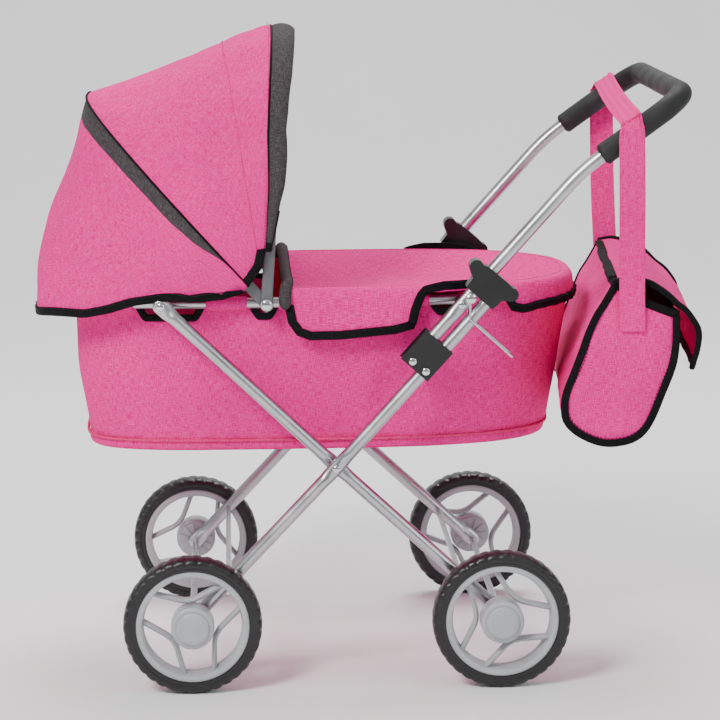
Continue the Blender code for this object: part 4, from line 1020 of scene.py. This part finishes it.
def make_boot_cover():
    """The sheet over the foot end, with a taped hem and the grey roll across its front edge."""
    outline = oval(-0.2455, 0.2175, RAIL_Y, 0, 900)
    start = int(np.argmin(np.abs(outline[:, 0] - (MID_X - 0.0495)) + (outline[:, 1] > 0) * 9))
    outline = np.roll(outline, -start, axis=0)
    stop = int(np.argmin(np.abs(outline[:, 0] - (MID_X - 0.0495)) + (outline[:, 1] < 0) * 9))
    rim = resample(outline[: stop + 1], 260)
    rim = (rim + rim[::-1] * (1, -1, 1)) / 2
    x = rim[:, 0] - MID_X
    outward = unit(np.stack([np.maximum(x - 0.10, 0) / 0.12 * 0.7, rim[:, 1] / RAIL_Y, 0 * x], axis=1))
    reach = lerp(0.0078, 0.0030, np.clip((x - 0.165) / 0.050, 0, 1))
    edge = rim + outward * reach[:, None]
    hem = np.interp(x, [p[0] for p in HEM], [p[1] for p in HEM])
    foot = step01((x - 0.12) / 0.09)
    rows = []
    for share in (0.0, 0.12, 0.3, 0.5, 0.72, 0.9):
        z = lerp(hem, 0.3570, share)
        flare = (1 - share) * (0.0010 + 0.0012 * wander(rim, 45, 2.0))
        flare = flare + 0.0012 * np.sin(x * 260 + rim[:, 1] * 300) * foot * (1 - share)
        rows.append(np.stack([edge[:, 0], edge[:, 1], z], axis=1) + outward * flare[:, None])
    for inward, z in ((0.0022, 0.3598), (0.0060, 0.3608), (0.0110, 0.3604)):
        rows.append(np.stack([edge[:, 0], edge[:, 1], 0 * x + z], axis=1) - outward * inward)
    spine = np.stack([np.minimum(rim[:, 0], MID_X + 0.150), 0 * x, 0 * x + 0.3455], axis=1)
    inner = rows[-1]
    for share in (0.12, 0.24, 0.36, 0.5, 0.64, 0.78, 0.9, 1.0):
        row = lerp(inner, spine, share)
        row[:, 2] = lerp(0.3604, 0.3455, math.sin(share * math.pi / 2) ** 1.4)
        radial = np.arctan2(rim[:, 1], x - 0.10)
        puckers = 0.0022 * np.sin(radial * 34 + 4 * wander(rim, 25)) * foot * (1 - share) ** 1.5
        folds = 0.0034 * (0.4 - 2.0 * np.abs(wander(row * (0.6, 1, 0.2), 13, 7.0)))
        folds = folds + 0.0008 * wander(row, 55, 4.0)
        row[:, 2] += puckers + folds * (1 - 0.5 * (1 - share))
        rows.append(row)
    rows = np.array(rows)
    cover = cloth("boot_cover_sheet", rows, PINK, 0.0018, inside=(MID_X + 0.05, 0, 0.25))
    merged = bmesh.new()
    merged.from_mesh(cover.data)
    bmesh.ops.remove_doubles(merged, verts=merged.verts, dist=2e-5)
    merged.to_mesh(cover.data)
    merged.free()
    finish_piece(cover, "carrycot", "pink_fabric", "boot_cover")
    tape_path = rows[0] + outward * 0.0009
    shift = side_sign(tape_path, outward, 130, (0, 0, 1)) * 0.0036
    trim = band("boot_cover_tape", tape_path, outward, BINDING, 0.0020, TAPE, shift=shift)
    finish_piece(trim, "carrycot", "grey_fabric")
    line = tape_path + outward * 0.0011 + (0, 0, 0.0062)
    finish_piece(stitches("boot_cover_stitches", line, outward, DARK_THREAD), "carrycot", "grey_fabric")
    rail_line = rows[8] + (0, 0, 0.0002)
    finish_piece(
        stitches("boot_cover_edge_stitches", rail_line[8:-8], (0, 0, 1), THREAD), "carrycot", "pink_fabric"
    )
    key = [
        P(-0.0515, 0.3420, -0.1335), P(-0.0520, 0.3500, -0.1337), P(-0.0515, 0.3580, -0.1315),
        P(-0.0505, 0.3625, -0.1265), P(-0.0495, 0.3632, -0.1180)
    ]
    key += [P(-0.0490, 0.3612, -0.090), P(-0.0490, 0.3580, -0.045), P(-0.0490, 0.3568, 0)]
    key += [p * (1, -1, 1) for p in reversed(key[:-1])]
    path = spline(key, 150)
    across, side = frames(path, (1, 0, 0))
    radius = 0.0054 + 0.0004 * wander(path, 60, 1.0)
    radius = radius * rounding(end_distance(path), 0.0055, 0.05)
    roll = sweep("cover_roll", path, across, side, ovals(radius, radius, 20), GREY)
    finish_piece(roll, "carrycot", "grey_fabric", "boot_cover_roll")
    seam = stitches("cover_roll_stitches", path[6:-6] + (0.0050, 0, 0.0026), (0.8, 0, 0.5), DARK_THREAD)
    finish_piece(seam, "carrycot", "grey_fabric")
    return cover


# ---------------------------------------------------------------- hood


def hood_point(phi, radius, turn, half_width=HOOD_HALF_WIDTH):
    """Points on the hood by angle, in degrees, radius at the top and turn from 0, left, to pi, right."""
    phi, radius, turn = np.broadcast_arrays(np.radians(phi), radius, turn)
    rise = np.abs(np.sin(turn)) ** (2 / 3) * radius
    side = -np.sign(np.cos(turn)) * np.abs(np.cos(turn)) ** (2 / 3)
    x = HOOD_PIVOT[0] + np.cos(phi) * rise
    z = HOOD_PIVOT[2] + np.sin(phi) * rise
    return np.stack([x, side * half_width, z], axis=-1)


def hood_turns(radius, lowest, count):
    first = math.asin((lowest / radius) ** 1.5)
    return lerp(first, math.pi - first, np.linspace(0, 1, count))


def lowest_at(phi):
    return float(
        np.interp(phi, [82, 86, 93, 100, 115, 133], [0.0600, 0.0500, 0.0390, 0.0320, 0.0260, 0.0240])
    )


def edge_row(radius, phis, turns):
    rise = np.abs(np.sin(turns)) ** (2 / 3) * radius
    return hood_point(np.interp(rise, phis[0], phis[1]), radius, turns)


def hem_point(fraction):
    """Points on the hood's lower edge from the left round the head end to the right."""
    turn = math.pi * np.asarray(fraction, float)
    x = -0.0890 - 0.1905 * np.abs(np.sin(turn)) ** 0.68
    y = -HOOD_HALF_WIDTH * np.sign(np.cos(turn)) * np.abs(np.cos(turn)) ** 0.62
    z = np.interp(
        x, [-0.2303, -0.2080, -0.1856, -0.1589, -0.1264, -0.0950, -0.0890],
        [0.3365, 0.3415, 0.3490, 0.3525, 0.3520, 0.3545, 0.3600]
    )
    return np.stack([x + MID_X, y, z - 0.0080 * np.sin(turn) ** 8], axis=-1)


def wrinkle(rows, amounts, seeds, inside):
    """Moves a grid in and out by soft noises (amount, scale, stretch). A scale below 0 makes ridges."""
    normals = outward_normals(rows, inside)
    total = 0.0
    for (amount, scale, stretch), seed in zip(amounts, seeds):
        value = wander(rows * stretch, abs(scale), seed)
        if scale < 0:
            value = 0.55 - 2.2 * np.abs(value)
        total = total + amount * value
    return rows + normals * total[..., None]


def front_hood_rows():
    """The grey trim and the panel behind it, as rows from side to side."""
    behind, rear = 88.4, REAR_SEAM_ANGLE
    half = (rear - behind) / 2
    edge_phi = (
        [0.04, 0.05, 0.0686, 0.0882, 0.1072, 0.1326, 0.156, 0.24],
        [86.5, 85.6, 83.4, 82.2, 80.9, 81.3, 82.9, 82.6]
    )
    seam_phi = (
        [0.04, 0.05, 0.0686, 0.10, 0.1268, 0.1505, 0.1728, 0.24],
        [92.0, 91.0, 89.6, 88.2, 88.4, 88.7, 88.4, 87.8]
    )
    trim_turns = hood_turns(0.2390, 0.050, HOOD_COLUMNS)
    edge = edge_row(0.2385, edge_phi, trim_turns)
    seam = edge_row(0.2400, seam_phi, trim_turns)
    rows = []
    for share in (0.0, 0.15, 0.4, 0.65, 0.88):
        row = lerp(edge, seam, share)
        puff = 0.0036 * math.sin(math.pi * min(share * 1.05, 1))
        rows.append(row + unit(row - HOOD_INSIDE) * puff)
    steps = (0.0, 0.03, 0.09, 0.16, 0.24, 0.32, 0.40, 0.48, 0.56, 0.64, 0.72, 0.80, 0.88, 0.94, 0.98, 1.0)
    for share in steps:
        phi = lerp(behind, rear, share)
        radius = HOOD_RADIUS * math.cos(math.radians(half)) / math.cos(math.radians(phi - behind - half))
        turns = hood_turns(radius, lerp(0.050, lowest_at(phi), min(share * 6, 1)), HOOD_COLUMNS)
        row = hood_point(phi, radius, turns)
        if share < 0.09:
            row = lerp(seam, row, share / 0.09)
        sag = 0.0045 * math.sin(math.pi * share) ** 2
        top = np.sin(turns)[:, None] ** 2
        rows.append(row - unit(row - HOOD_INSIDE) * sag * (0.35 + 0.65 * top))
    rows = np.array(rows)
    calm = np.ones(len(rows))
    calm[:5] = 0.4
    calm[5], calm[-1], calm[-2] = 0.1, 0.0, 0.3
    diagonal = np.array((1.0, 0.55, 0.55))
    wrinkled = wrinkle(
        rows, ((0.0066, -11, diagonal), (0.0036, -24, (0.5, 1, 0.8)), (0.0009, 90, (1, 1, 1))),
        (1.0, 4.0, 8.0), HOOD_INSIDE
    )
    rows = rows + (wrinkled - rows) * calm[:, None, None]
    return rows


def rear_hood_rows():
    """The grey stripe and the panel down to the hem, as rows from side to side."""
    rear_turns = hood_turns(HOOD_RADIUS, 0.0240, HOOD_COLUMNS)
    bow_row = hood_point(REAR_SEAM_ANGLE, HOOD_RADIUS, rear_turns)
    reach = np.linalg.norm((bow_row - HOOD_PIVOT) * (1, 0, 1), axis=1)
    fraction = np.linspace(0, 1, HOOD_COLUMNS)
    hem = hem_point(fraction)
    stripe_width = np.interp(
        reach, [0.045, 0.056, 0.070, 0.0856, 0.12, 0.2, 0.25],
        [0.0002, 0.0004, 0.0050, 0.0098, 0.0148, 0.0165, 0.0190]
    )
    length = np.linalg.norm(hem - bow_row, axis=1)
    stripe = np.clip(stripe_width / length, 0.004, 0.9)
    levels = [np.zeros(HOOD_COLUMNS), stripe * 0.5, stripe]
    for share in (0.05, 0.12, 0.20, 0.30, 0.40, 0.50, 0.60, 0.70, 0.80, 0.90, 0.96, 1.0):
        levels.append(stripe + (1 - stripe) * share)
    rear_rows = []
    for level in levels:
        swell = 0.0090 * np.sin(math.pi * level**2) * np.sin(math.pi * fraction)
        row = bow_row + (hem - bow_row) * level[:, None]
        row[:, 0] -= swell
        rear_rows.append(row)
    rear_rows = np.array(rear_rows)
    wrinkled = wrinkle(
        rear_rows, ((0.0058, -12, (1, 0.6, 0.7)), (0.0034, -24, (1, 1, 0.6)), (0.0009, 90, (1, 1, 1))),
        (11.0, 14.0, 18.0), HOOD_INSIDE
    )
    calm = np.ones(len(rear_rows))
    calm[0], calm[1], calm[2], calm[-1], calm[-2] = 0.0, 0.2, 0.3, 0.5, 0.7
    rear_rows = rear_rows + (wrinkled - rear_rows) * calm[:, None, None]
    rear_rows[:, :, 1] = np.clip(rear_rows[:, :, 1], -0.1445, 0.1445)
    return rear_rows


def make_bows():
    """The two flat bows, straight for a few millimetres above their pivots."""
    for name, radius, half_width, angle, body in (
        ("hood_rear_bow", 0.2335, 0.1330, REAR_BOW_ANGLE, "hood_rear"),
        ("hood_front_bow", 0.2305, 0.1363, FRONT_BOW_ANGLE, "hood_front"),
    ):
        path = hood_point(angle, radius, np.linspace(0, math.pi, 400), half_width)
        level, rise = math.cos(math.radians(angle)), math.sin(math.radians(angle))
        foot = np.array((level, 0, rise)) * 0.0070
        path = resample(np.vstack([path[0] - foot, path, path[-1] - foot]), 220)
        across, side = frames(path, (-rise, 0, level))
        wide = rounding(end_distance(path), 0.005, 0.05)
        section = pill(0.0104, 0.0026)[:, ::-1]
        sections = section[None] * np.stack([np.ones_like(wide), wide], axis=1)[:, None]
        finish_piece(sweep(name + "_strip", path, across, side, sections, BOW), body, "bow_plastic", name)


def make_hood():
    """Two cloths sewn along the rear bow, with tapes and stitches."""
    rows, rear_rows = front_hood_rows(), rear_hood_rows()
    looks = [1] * 5 + [0] * (len(rows) - 6)
    front = cloth("hood_front_cloth", rows, [PINK, GREY], 0.0017, inside=HOOD_INSIDE, row_looks=looks)
    looks = [1, 1] + [0] * (len(rear_rows) - 3)
    back = cloth("hood_rear_cloth", rear_rows, [PINK, GREY], 0.0017, inside=HOOD_INSIDE, row_looks=looks)

    def out_from(points):
        return unit(points - HOOD_INSIDE)

    front_soft, rear_soft = [front], [back]
    for name, row, group in (("front", rows[5], front_soft), ("bow", rows[-1], rear_soft)):
        path = row + out_from(row) * 0.0002
        group.append(tube("hood_seam_" + name, path, 0.00105, TAPE, (1, 0, 0), sides=10))
    for name, row in (("front", rows[6]), ("casing", rows[9])):
        path = row + out_from(row) * 0.0004
        front_soft.append(stitches("hood_stitches_" + name, path, out_from(row), THREAD))
    normals = outward_normals(rear_rows, HOOD_INSIDE)[-1]
    tape_path = rear_rows[-1] + normals * 0.0005
    sign = side_sign(tape_path, normals, 48, rear_rows[-2][48] - rear_rows[-1][48])
    rear_soft.append(band("hood_hem_tape", tape_path, normals, BINDING, 0.0024, TAPE, shift=sign * 0.0034))
    line = tape_path + unit(rear_rows[-3] - rear_rows[-1]) * 0.0064 + normals * 0.0014
    rear_soft.append(stitches("hood_hem_stitches", line, normals, DARK_THREAD))
    lower = int(HOOD_COLUMNS * 0.055)
    hood_ends = (
        ("left", np.array((0, -1.0, 0)), 0, 4, slice(0, lower)),
        ("right", np.array((0, 1.0, 0)), -1, -5, slice(HOOD_COLUMNS - lower, HOOD_COLUMNS)),
    )
    for label, normal, column, neighbour, _ in hood_ends:
        into = rows[:, neighbour] - rows[:, column]
        path = spline(rows[:, column][::2], 60)
        shift = side_sign(path, normal, 30, into[len(into) // 2]) * 0.0032
        name = "hood_corner_tape_" + label
        front_soft.append(band(name, path + normal * 0.0004, normal, BINDING, 0.0024, TAPE, shift=shift))
    for label, normal, _, _, part in hood_ends:
        path = rows[0][part]
        shift = side_sign(path, normal, 3, rows[4][part][3] - path[3]) * 0.0034
        name = "hood_edge_tape_" + label
        front_soft.append(band(name, path + normal * 0.0005, normal, BINDING, 0.0024, TAPE, shift=shift))

    def at(angle):
        turn = math.radians(angle)
        return HOOD_PIVOT + np.array((math.cos(turn), 0, math.sin(turn))) * 0.15

    for obj in front_soft:
        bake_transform(obj)
    for obj in rear_soft:
        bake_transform(obj)
    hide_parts("hood_front_panel")
    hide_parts("hood_rear_panel")
    make_bows()
    return front, back


# ---------------------------------------------------------------- bag

BAG_BACK = [
    (0.2428, 0.3631), (0.2330, 0.3460), (0.2233, 0.3298), (0.2123, 0.3012), (0.2035, 0.2780),
    (0.1976, 0.2613), (0.1966, 0.2462), (0.2000, 0.2350)
]
BAG_BACK += [
    (0.2115, 0.2240), (0.2328, 0.2150), (0.2551, 0.2158), (0.2701, 0.2235), (0.2799, 0.2384),
    (0.2896, 0.2623), (0.2981, 0.2847), (0.3015, 0.3060), (0.3015, 0.3325)
]
FLAP = [
    (0.2420, 0.3648), (0.2560, 0.3672), (0.2728, 0.3638), (0.2878, 0.3552), (0.3003, 0.3438),
    (0.3128, 0.3328), (0.3215, 0.3189), (0.3215, 0.3007), (0.3165, 0.2845)
]


def skewed(points, y):
    """Section points (x, z), counted from the wheelbase's middle, at a place along the bag's length."""
    return np.stack(
        [points[:, 0] + MID_X + BAG_SKEW * (y + BAG_END), np.full(len(points), y), points[:, 1]], axis=1
    )


def make_flap(middle):
    """The lid, from its fold at the back over the mouth, with tape round its free edges."""
    profile = spline(FLAP, 34)
    flap_rows = []
    for y in np.linspace(-BAG_END, BAG_END, 45):
        share = 1 - (y / BAG_END) ** 2
        sag = -0.0035 * share * np.sin(np.pi * np.linspace(0, 1, 34)) ** 1.2
        section = profile + np.stack([0 * sag, sag], axis=1)
        if abs(y) > 0.128:
            tuck = (abs(y) - 0.128) / 0.012
            section = lerp(section, section + unit(section.mean(axis=0) - section) * 0.0015, tuck)
        flap_rows.append(skewed(section, y))
    flap_rows = np.array(flap_rows)
    below = middle + (0.0, 0, 0.02)
    flap_rows[:, 1:] = wrinkle(
        flap_rows, ((0.0022, 24, (1, 0.5, 1)), (0.0009, 60, (1, 1, 1))), (41.0, 44.0), below
    )[:, 1:]
    flap = cloth("bag_flap_cloth", flap_rows, PINK, 0.0018, inside=below)
    finish_piece(flap, "bag_lid", "pink_fabric", "bag_flap")
    edge = np.vstack([flap_rows[0], flap_rows[1:-1, -1], flap_rows[-1][::-1]])
    normals = outward_normals(flap_rows, below)
    edge_normals = np.vstack([normals[0], normals[1:-1, -1], normals[-1][::-1]])
    lip = flap_rows[1:-1, -4] - flap_rows[1:-1, -1]
    inward = np.vstack([flap_rows[3] - flap_rows[0], lip, (flap_rows[-4] - flap_rows[-1])[::-1]])
    edge = edge + unit(inward) * 0.0030
    finish_piece(band("bag_flap_tape", edge, edge_normals, BINDING, 0.0056, TAPE), "bag_lid", "grey_fabric")
    line = edge + unit(inward) * 0.0030 + edge_normals * 0.0018
    finish_piece(stitches("bag_flap_stitches", line, edge_normals, DARK_THREAD), "bag_lid", "grey_fabric")
    fold = flap_rows[3:-3, 0] + (0.001, 0, 0.0006)
    back_tape = band("bag_flap_back_tape", fold, (0, 0, 1), BINDING, 0.0026, TAPE)
    finish_piece(back_tape, "bag_lid", "grey_fabric")


def make_bag():
    """A sagging shell with two end panels, all bound with tape, and its lid."""
    outline = spline(BAG_BACK, 72)
    centre = outline.mean(axis=0)
    rows = []
    end = BAG_END - 0.0012
    close, far = -end + 0.01, end - 0.01
    places = (np.linspace(-end, close, 3)[:-1], np.linspace(close, far, 41), np.linspace(far, end, 3)[1:])
    for y in np.concatenate(places):
        share = 1 - (y / end) ** 2
        section = centre + (outline - centre) * (1 - 0.030 * share)
        low = np.clip((0.262 - section[:, 1]) / 0.045, 0, 1)
        pull = 0.004 * share * low * np.sign(section[:, 0] - centre[0]) * -0.3
        section = section + np.stack([pull, -0.0016 * share * low], axis=1)
        rows.append(skewed(section, y))
    rows = np.array(rows)
    middle = np.array((centre[0] + MID_X + 0.011, 0, centre[1]))
    calm = np.clip(np.minimum(np.arange(len(rows)), np.arange(len(rows))[::-1]) / 3, 0.1, 1)
    wrinkled = wrinkle(
        rows, ((0.0030, -15, (1, 0.45, 1)), (0.0018, -36, (1, 0.5, 1)), (0.0006, 90, (1, 1, 1))),
        (21.0, 24.0, 28.0), middle
    )
    rows = rows + (wrinkled - rows) * calm[:, None, None]
    shell = cloth("bag_shell", rows, PINK, 0.0020, inside=middle)
    finish_piece(shell, "bag", "pink_fabric", "bag_body")
    for side, index in ((-1, 0), (1, -1)):
        edge = rows[index]
        hub = np.array(
            (centre[0] + MID_X + BAG_SKEW * (side * end + BAG_END), side * end, centre[1] + 0.006)
        )
        panel_rows = []
        for share in (0.0, 0.08, 0.2, 0.36, 0.52, 0.68, 0.84, 0.95, 1.0):
            row = lerp(edge, hub, share)
            row[:, 1] += side * (0.0030 * math.sin(math.pi * min(share * 0.9, 0.5)) - 0.0045 * share**2)
            row[:, 1] += side * 0.0026 * wander(row * (1, 1, 0.6), 52, 31.0) * math.sin(math.pi * share)
            panel_rows.append(row)
        panel_rows = np.array(panel_rows)
        across = np.linspace(0, 1, 14)[1:-1][None, :, None]
        mouth = lerp(panel_rows[:, -1:], panel_rows[:, :1], across)
        loop_rows = np.concatenate([panel_rows, mouth], axis=1)
        panel = cloth(
            named("bag_end_panel", side), loop_rows, PINK, 0.0018, closed=True,
            inside=(middle[0], 0, middle[2])
        )
        corners = [panel.data.vertices[loop.vertex_index].co for loop in panel.data.loops]
        flat_uv = [(co.x, co.z) for co in corners]
        panel.data.uv_layers[0].data.foreach_set("uv", np.array(flat_uv, np.float32).ravel())
        finish_piece(panel, "bag", "pink_fabric")
        path = edge + (0, side * 0.0012, 0)
        normals = np.broadcast_to(np.array((0, float(side), 0)), path.shape)
        shift = side_sign(path, normals, 36, hub - path[36]) * 0.0022
        tape = band(named("bag_end_tape", side), path, normals, 0.0070, 0.0030, TAPE, shift=shift)
        finish_piece(tape, "bag", "grey_fabric")
        line = path + unit(hub - path) * 0.0066 + normals * 0.0010
        finish_piece(
            stitches(named("bag_end_stitches", side), line, normals, DARK_THREAD), "bag", "grey_fabric"
        )
        top = resample(np.array([edge[0], lerp(edge[0], edge[-1], 0.5) - (0, 0, 0.004), edge[-1]]), 30)
        finish_piece(
            band(named("bag_top_tape", side), top, (0, side, 0), BINDING, 0.0030, TAPE), "bag",
            "grey_fabric"
        )
    for name, column in (("back", 0), ("front", -1)):
        path = rows[:, column] + (0, 0, -0.001)
        normal = (-0.9, 0, 0.3) if name == "back" else (0.9, 0, 0.3)
        finish_piece(
            band("bag_mouth_tape_" + name, path, normal, BINDING, 0.0030, TAPE), "bag", "grey_fabric"
        )
    make_flap(middle)


def strap_path():
    slope = math.tan(GRIP_ANGLE)

    def grip_z(x):
        return CROSSBAR[2] + (x + MID_X - CROSSBAR[0]) * slope

    clear = 0.0130
    near_x, far_x = 0.2548, 0.2705
    top = clear / math.cos(GRIP_ANGLE)
    path = [(P(0.2600, 0.3180, -0.1432), 0), (P(0.2590, 0.3420, -0.1440), 0)]
    path += [(P(0.2570, 0.4000, -0.1545), 0), (P(0.2560, 0.4450, -0.1600), 0)]
    path += [(P(0.2550, grip_z(near_x), -FRONT_LEG_Y - clear), 0.25)]
    for s in (1, 2, 3):
        angle = math.pi / 2 * s / 3
        z = grip_z(near_x) + top * math.sin(angle)
        path.append((P(near_x, z, -FRONT_LEG_Y - clear * math.cos(angle)), lerp(0.3, 1, s / 3)))
    for t in (0.25, 0.5, 0.75):
        x = lerp(near_x, far_x, t)
        z = grip_z(x) + top - 0.0030 * math.sin(math.pi * t)
        path.append((P(x, z, lerp(-FRONT_LEG_Y, FRONT_LEG_Y, t)), 1))
    for s in (3, 2, 1):
        angle = math.pi / 2 * s / 3
        z = grip_z(far_x) + top * math.sin(angle)
        path.append((P(far_x, z, FRONT_LEG_Y + clear * math.cos(angle)), lerp(0.3, 1, s / 3)))
    path += [(P(far_x, grip_z(far_x), FRONT_LEG_Y + clear), 0.25), (P(0.2710, 0.4450, 0.1600), 0)]
    path += [(P(0.2718, 0.4000, 0.1545), 0), (P(0.2735, 0.3420, 0.1440), 0), (P(0.2745, 0.3180, 0.1432), 0)]
    return path


def make_strap():
    """Webbing from one end of the bag over the grip and along the crossbar to the other end."""
    key = strap_path()
    data = np.array([np.append(point, tilt) for point, tilt in key])
    curve = spline(data, 260)
    path, tilt = curve[:, :3], curve[:, 3]
    slope = GRIP_ANGLE * tilt
    wide = np.stack([np.cos(slope), 0 * slope, np.sin(slope)], axis=1)
    half = 0.01175 * (1 - 0.10 * step01((tilt - 0.2) / 0.5))
    along = unit(np.gradient(path, axis=0))
    out = unit(np.cross(wide, along))
    rows = []
    for s in np.linspace(-1, 1, 15):
        pleat = 0.0006 * math.sin(s * 11) * (0.35 + 0.65 * tilt) + 0.0007 * wander(
            path + wide * s * 0.01, 60, 51.0
        )
        rows.append(path + wide * (half * s)[:, None] + out * pleat[:, None])
    rows = np.array(rows)
    strap = cloth("bag_strap_webbing", rows, PINK, 0.0013, inside=(path[130] - (0, 0, 0.05)), offset=0.0)
    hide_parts("bag_strap")
    soft = [strap]
    for index, name in ((2, "a"), (12, "b")):
        for face in (-1, 1):
            line = rows[index] + out * 0.0009 * face
            soft.append(
                stitches(
                    "strap_stitches_" + name + ("_in" if face < 0 else "_out"), line, out * face, THREAD
                )
            )
    for piece in soft:
        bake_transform(piece)
    return strap


# ---------------------------------------------------------------- stage


def make_stage():
    size = 6.0
    floor_mat, tree, shader = new_material("pale_floor")
    space = node(tree, "ShaderNodeTexCoord").outputs["Object"]
    cloud = stretched_noise(tree, space, (3, 3, 3), 3.0)
    tree.links.new(
        ramp(tree, cloud, [(0.3, (0.90, 0.90, 0.905)), (0.7, (0.93, 0.93, 0.935))]),
        shader.inputs["Base Color"]
    )
    shader.inputs["Roughness"].default_value = 0.65
    profile = [(-size, 0.0), (2.2, 0.0)]
    profile += [
        (2.2 + 1.4 * math.sin(t), 1.4 - 1.4 * math.cos(t)) for t in np.linspace(0.1, math.pi / 2, 14)
    ]
    profile += [(3.6, 5.0)]
    rows = [[(-size, y, z), (size, y, z)] for y, z in profile]
    floor = cloth("studio_floor", np.array(rows), floor_mat, thickness=0, levels=0)
    world = bpy.context.scene.world or bpy.data.worlds.new("studio")
    bpy.context.scene.world = world
    world.use_nodes = True
    background = world.node_tree.nodes["Background"]
    sky = node(world.node_tree, "ShaderNodeTexCoord").outputs["Generated"]
    height = node(world.node_tree, "ShaderNodeSeparateXYZ", {"Vector": sky}).outputs["Z"]
    height = math_node(world.node_tree, "ADD", math_node(world.node_tree, "MULTIPLY", height, 0.5), 0.5)
    stops = [
        (0.0, (0.80, 0.80, 0.80)), (0.44, (0.42, 0.43, 0.44)), (0.52, (0.60, 0.61, 0.63)),
        (0.72, (1.0, 1.0, 1.0))
    ]
    world.node_tree.links.new(ramp(world.node_tree, height, stops), background.inputs["Color"])
    background.inputs["Strength"].default_value = 0.62

    def area(name, at, target, width, power, colour):
        data = bpy.data.lights.new(name, "AREA")
        data.shape = "DISK"
        data.size = width
        data.energy = power
        data.color = colour
        lamp = bpy.data.objects.new(name, data)
        lamp.location = at
        lamp.rotation_euler = (Vector(target) - Vector(at)).to_track_quat("-Z", "Y").to_euler()
        bpy.context.scene.collection.objects.link(lamp)

    area("key", (-1.5, -2.0, 2.4), (0, 0, 0.25), 1.0, 95, (1.0, 0.985, 0.96))
    area("fill", (2.2, -1.8, 1.3), (0, 0, 0.3), 1.6, 16, (0.96, 0.98, 1.0))
    area("top", (0.2, 1.1, 2.6), (0, 0.4, 0.1), 1.8, 60, (1.0, 1.0, 1.0))
    data = bpy.data.cameras.new("camera")
    data.sensor_width = 36
    data.lens = 141.35
    camera = bpy.data.objects.new("camera", data)
    right = Vector((0.9988, -0.0480, -0.0076)).normalized()
    forward = Vector((0.0459, 0.9837, -0.1741)).normalized()
    up = right.cross(forward).normalized()
    turn = Matrix((right, up, -forward)).transposed().to_4x4()
    camera.matrix_world = Matrix.Translation((MID_X - 0.102, -2.6336, 0.7379)) @ turn
    bpy.context.scene.collection.objects.link(camera)
    bpy.context.scene.camera = camera


# ---------------------------------------------------------------- build

SPINS = {("front", -1): -14, ("front", 1): 80, ("rear", -1): -92, ("rear", 1): -10}
for end, axle in (("front", FRONT_AXLE), ("rear", REAR_AXLE)):
    for side in (-1, 1):
        make_wheel(end, side, axle, math.radians(SPINS[(end, side)]))
make_frame()
shell = make_cot()
make_pad()
cover = make_boot_cover()
hood_front, hood_rear = make_hood()
make_bag()
strap = make_strap()
make_stage()
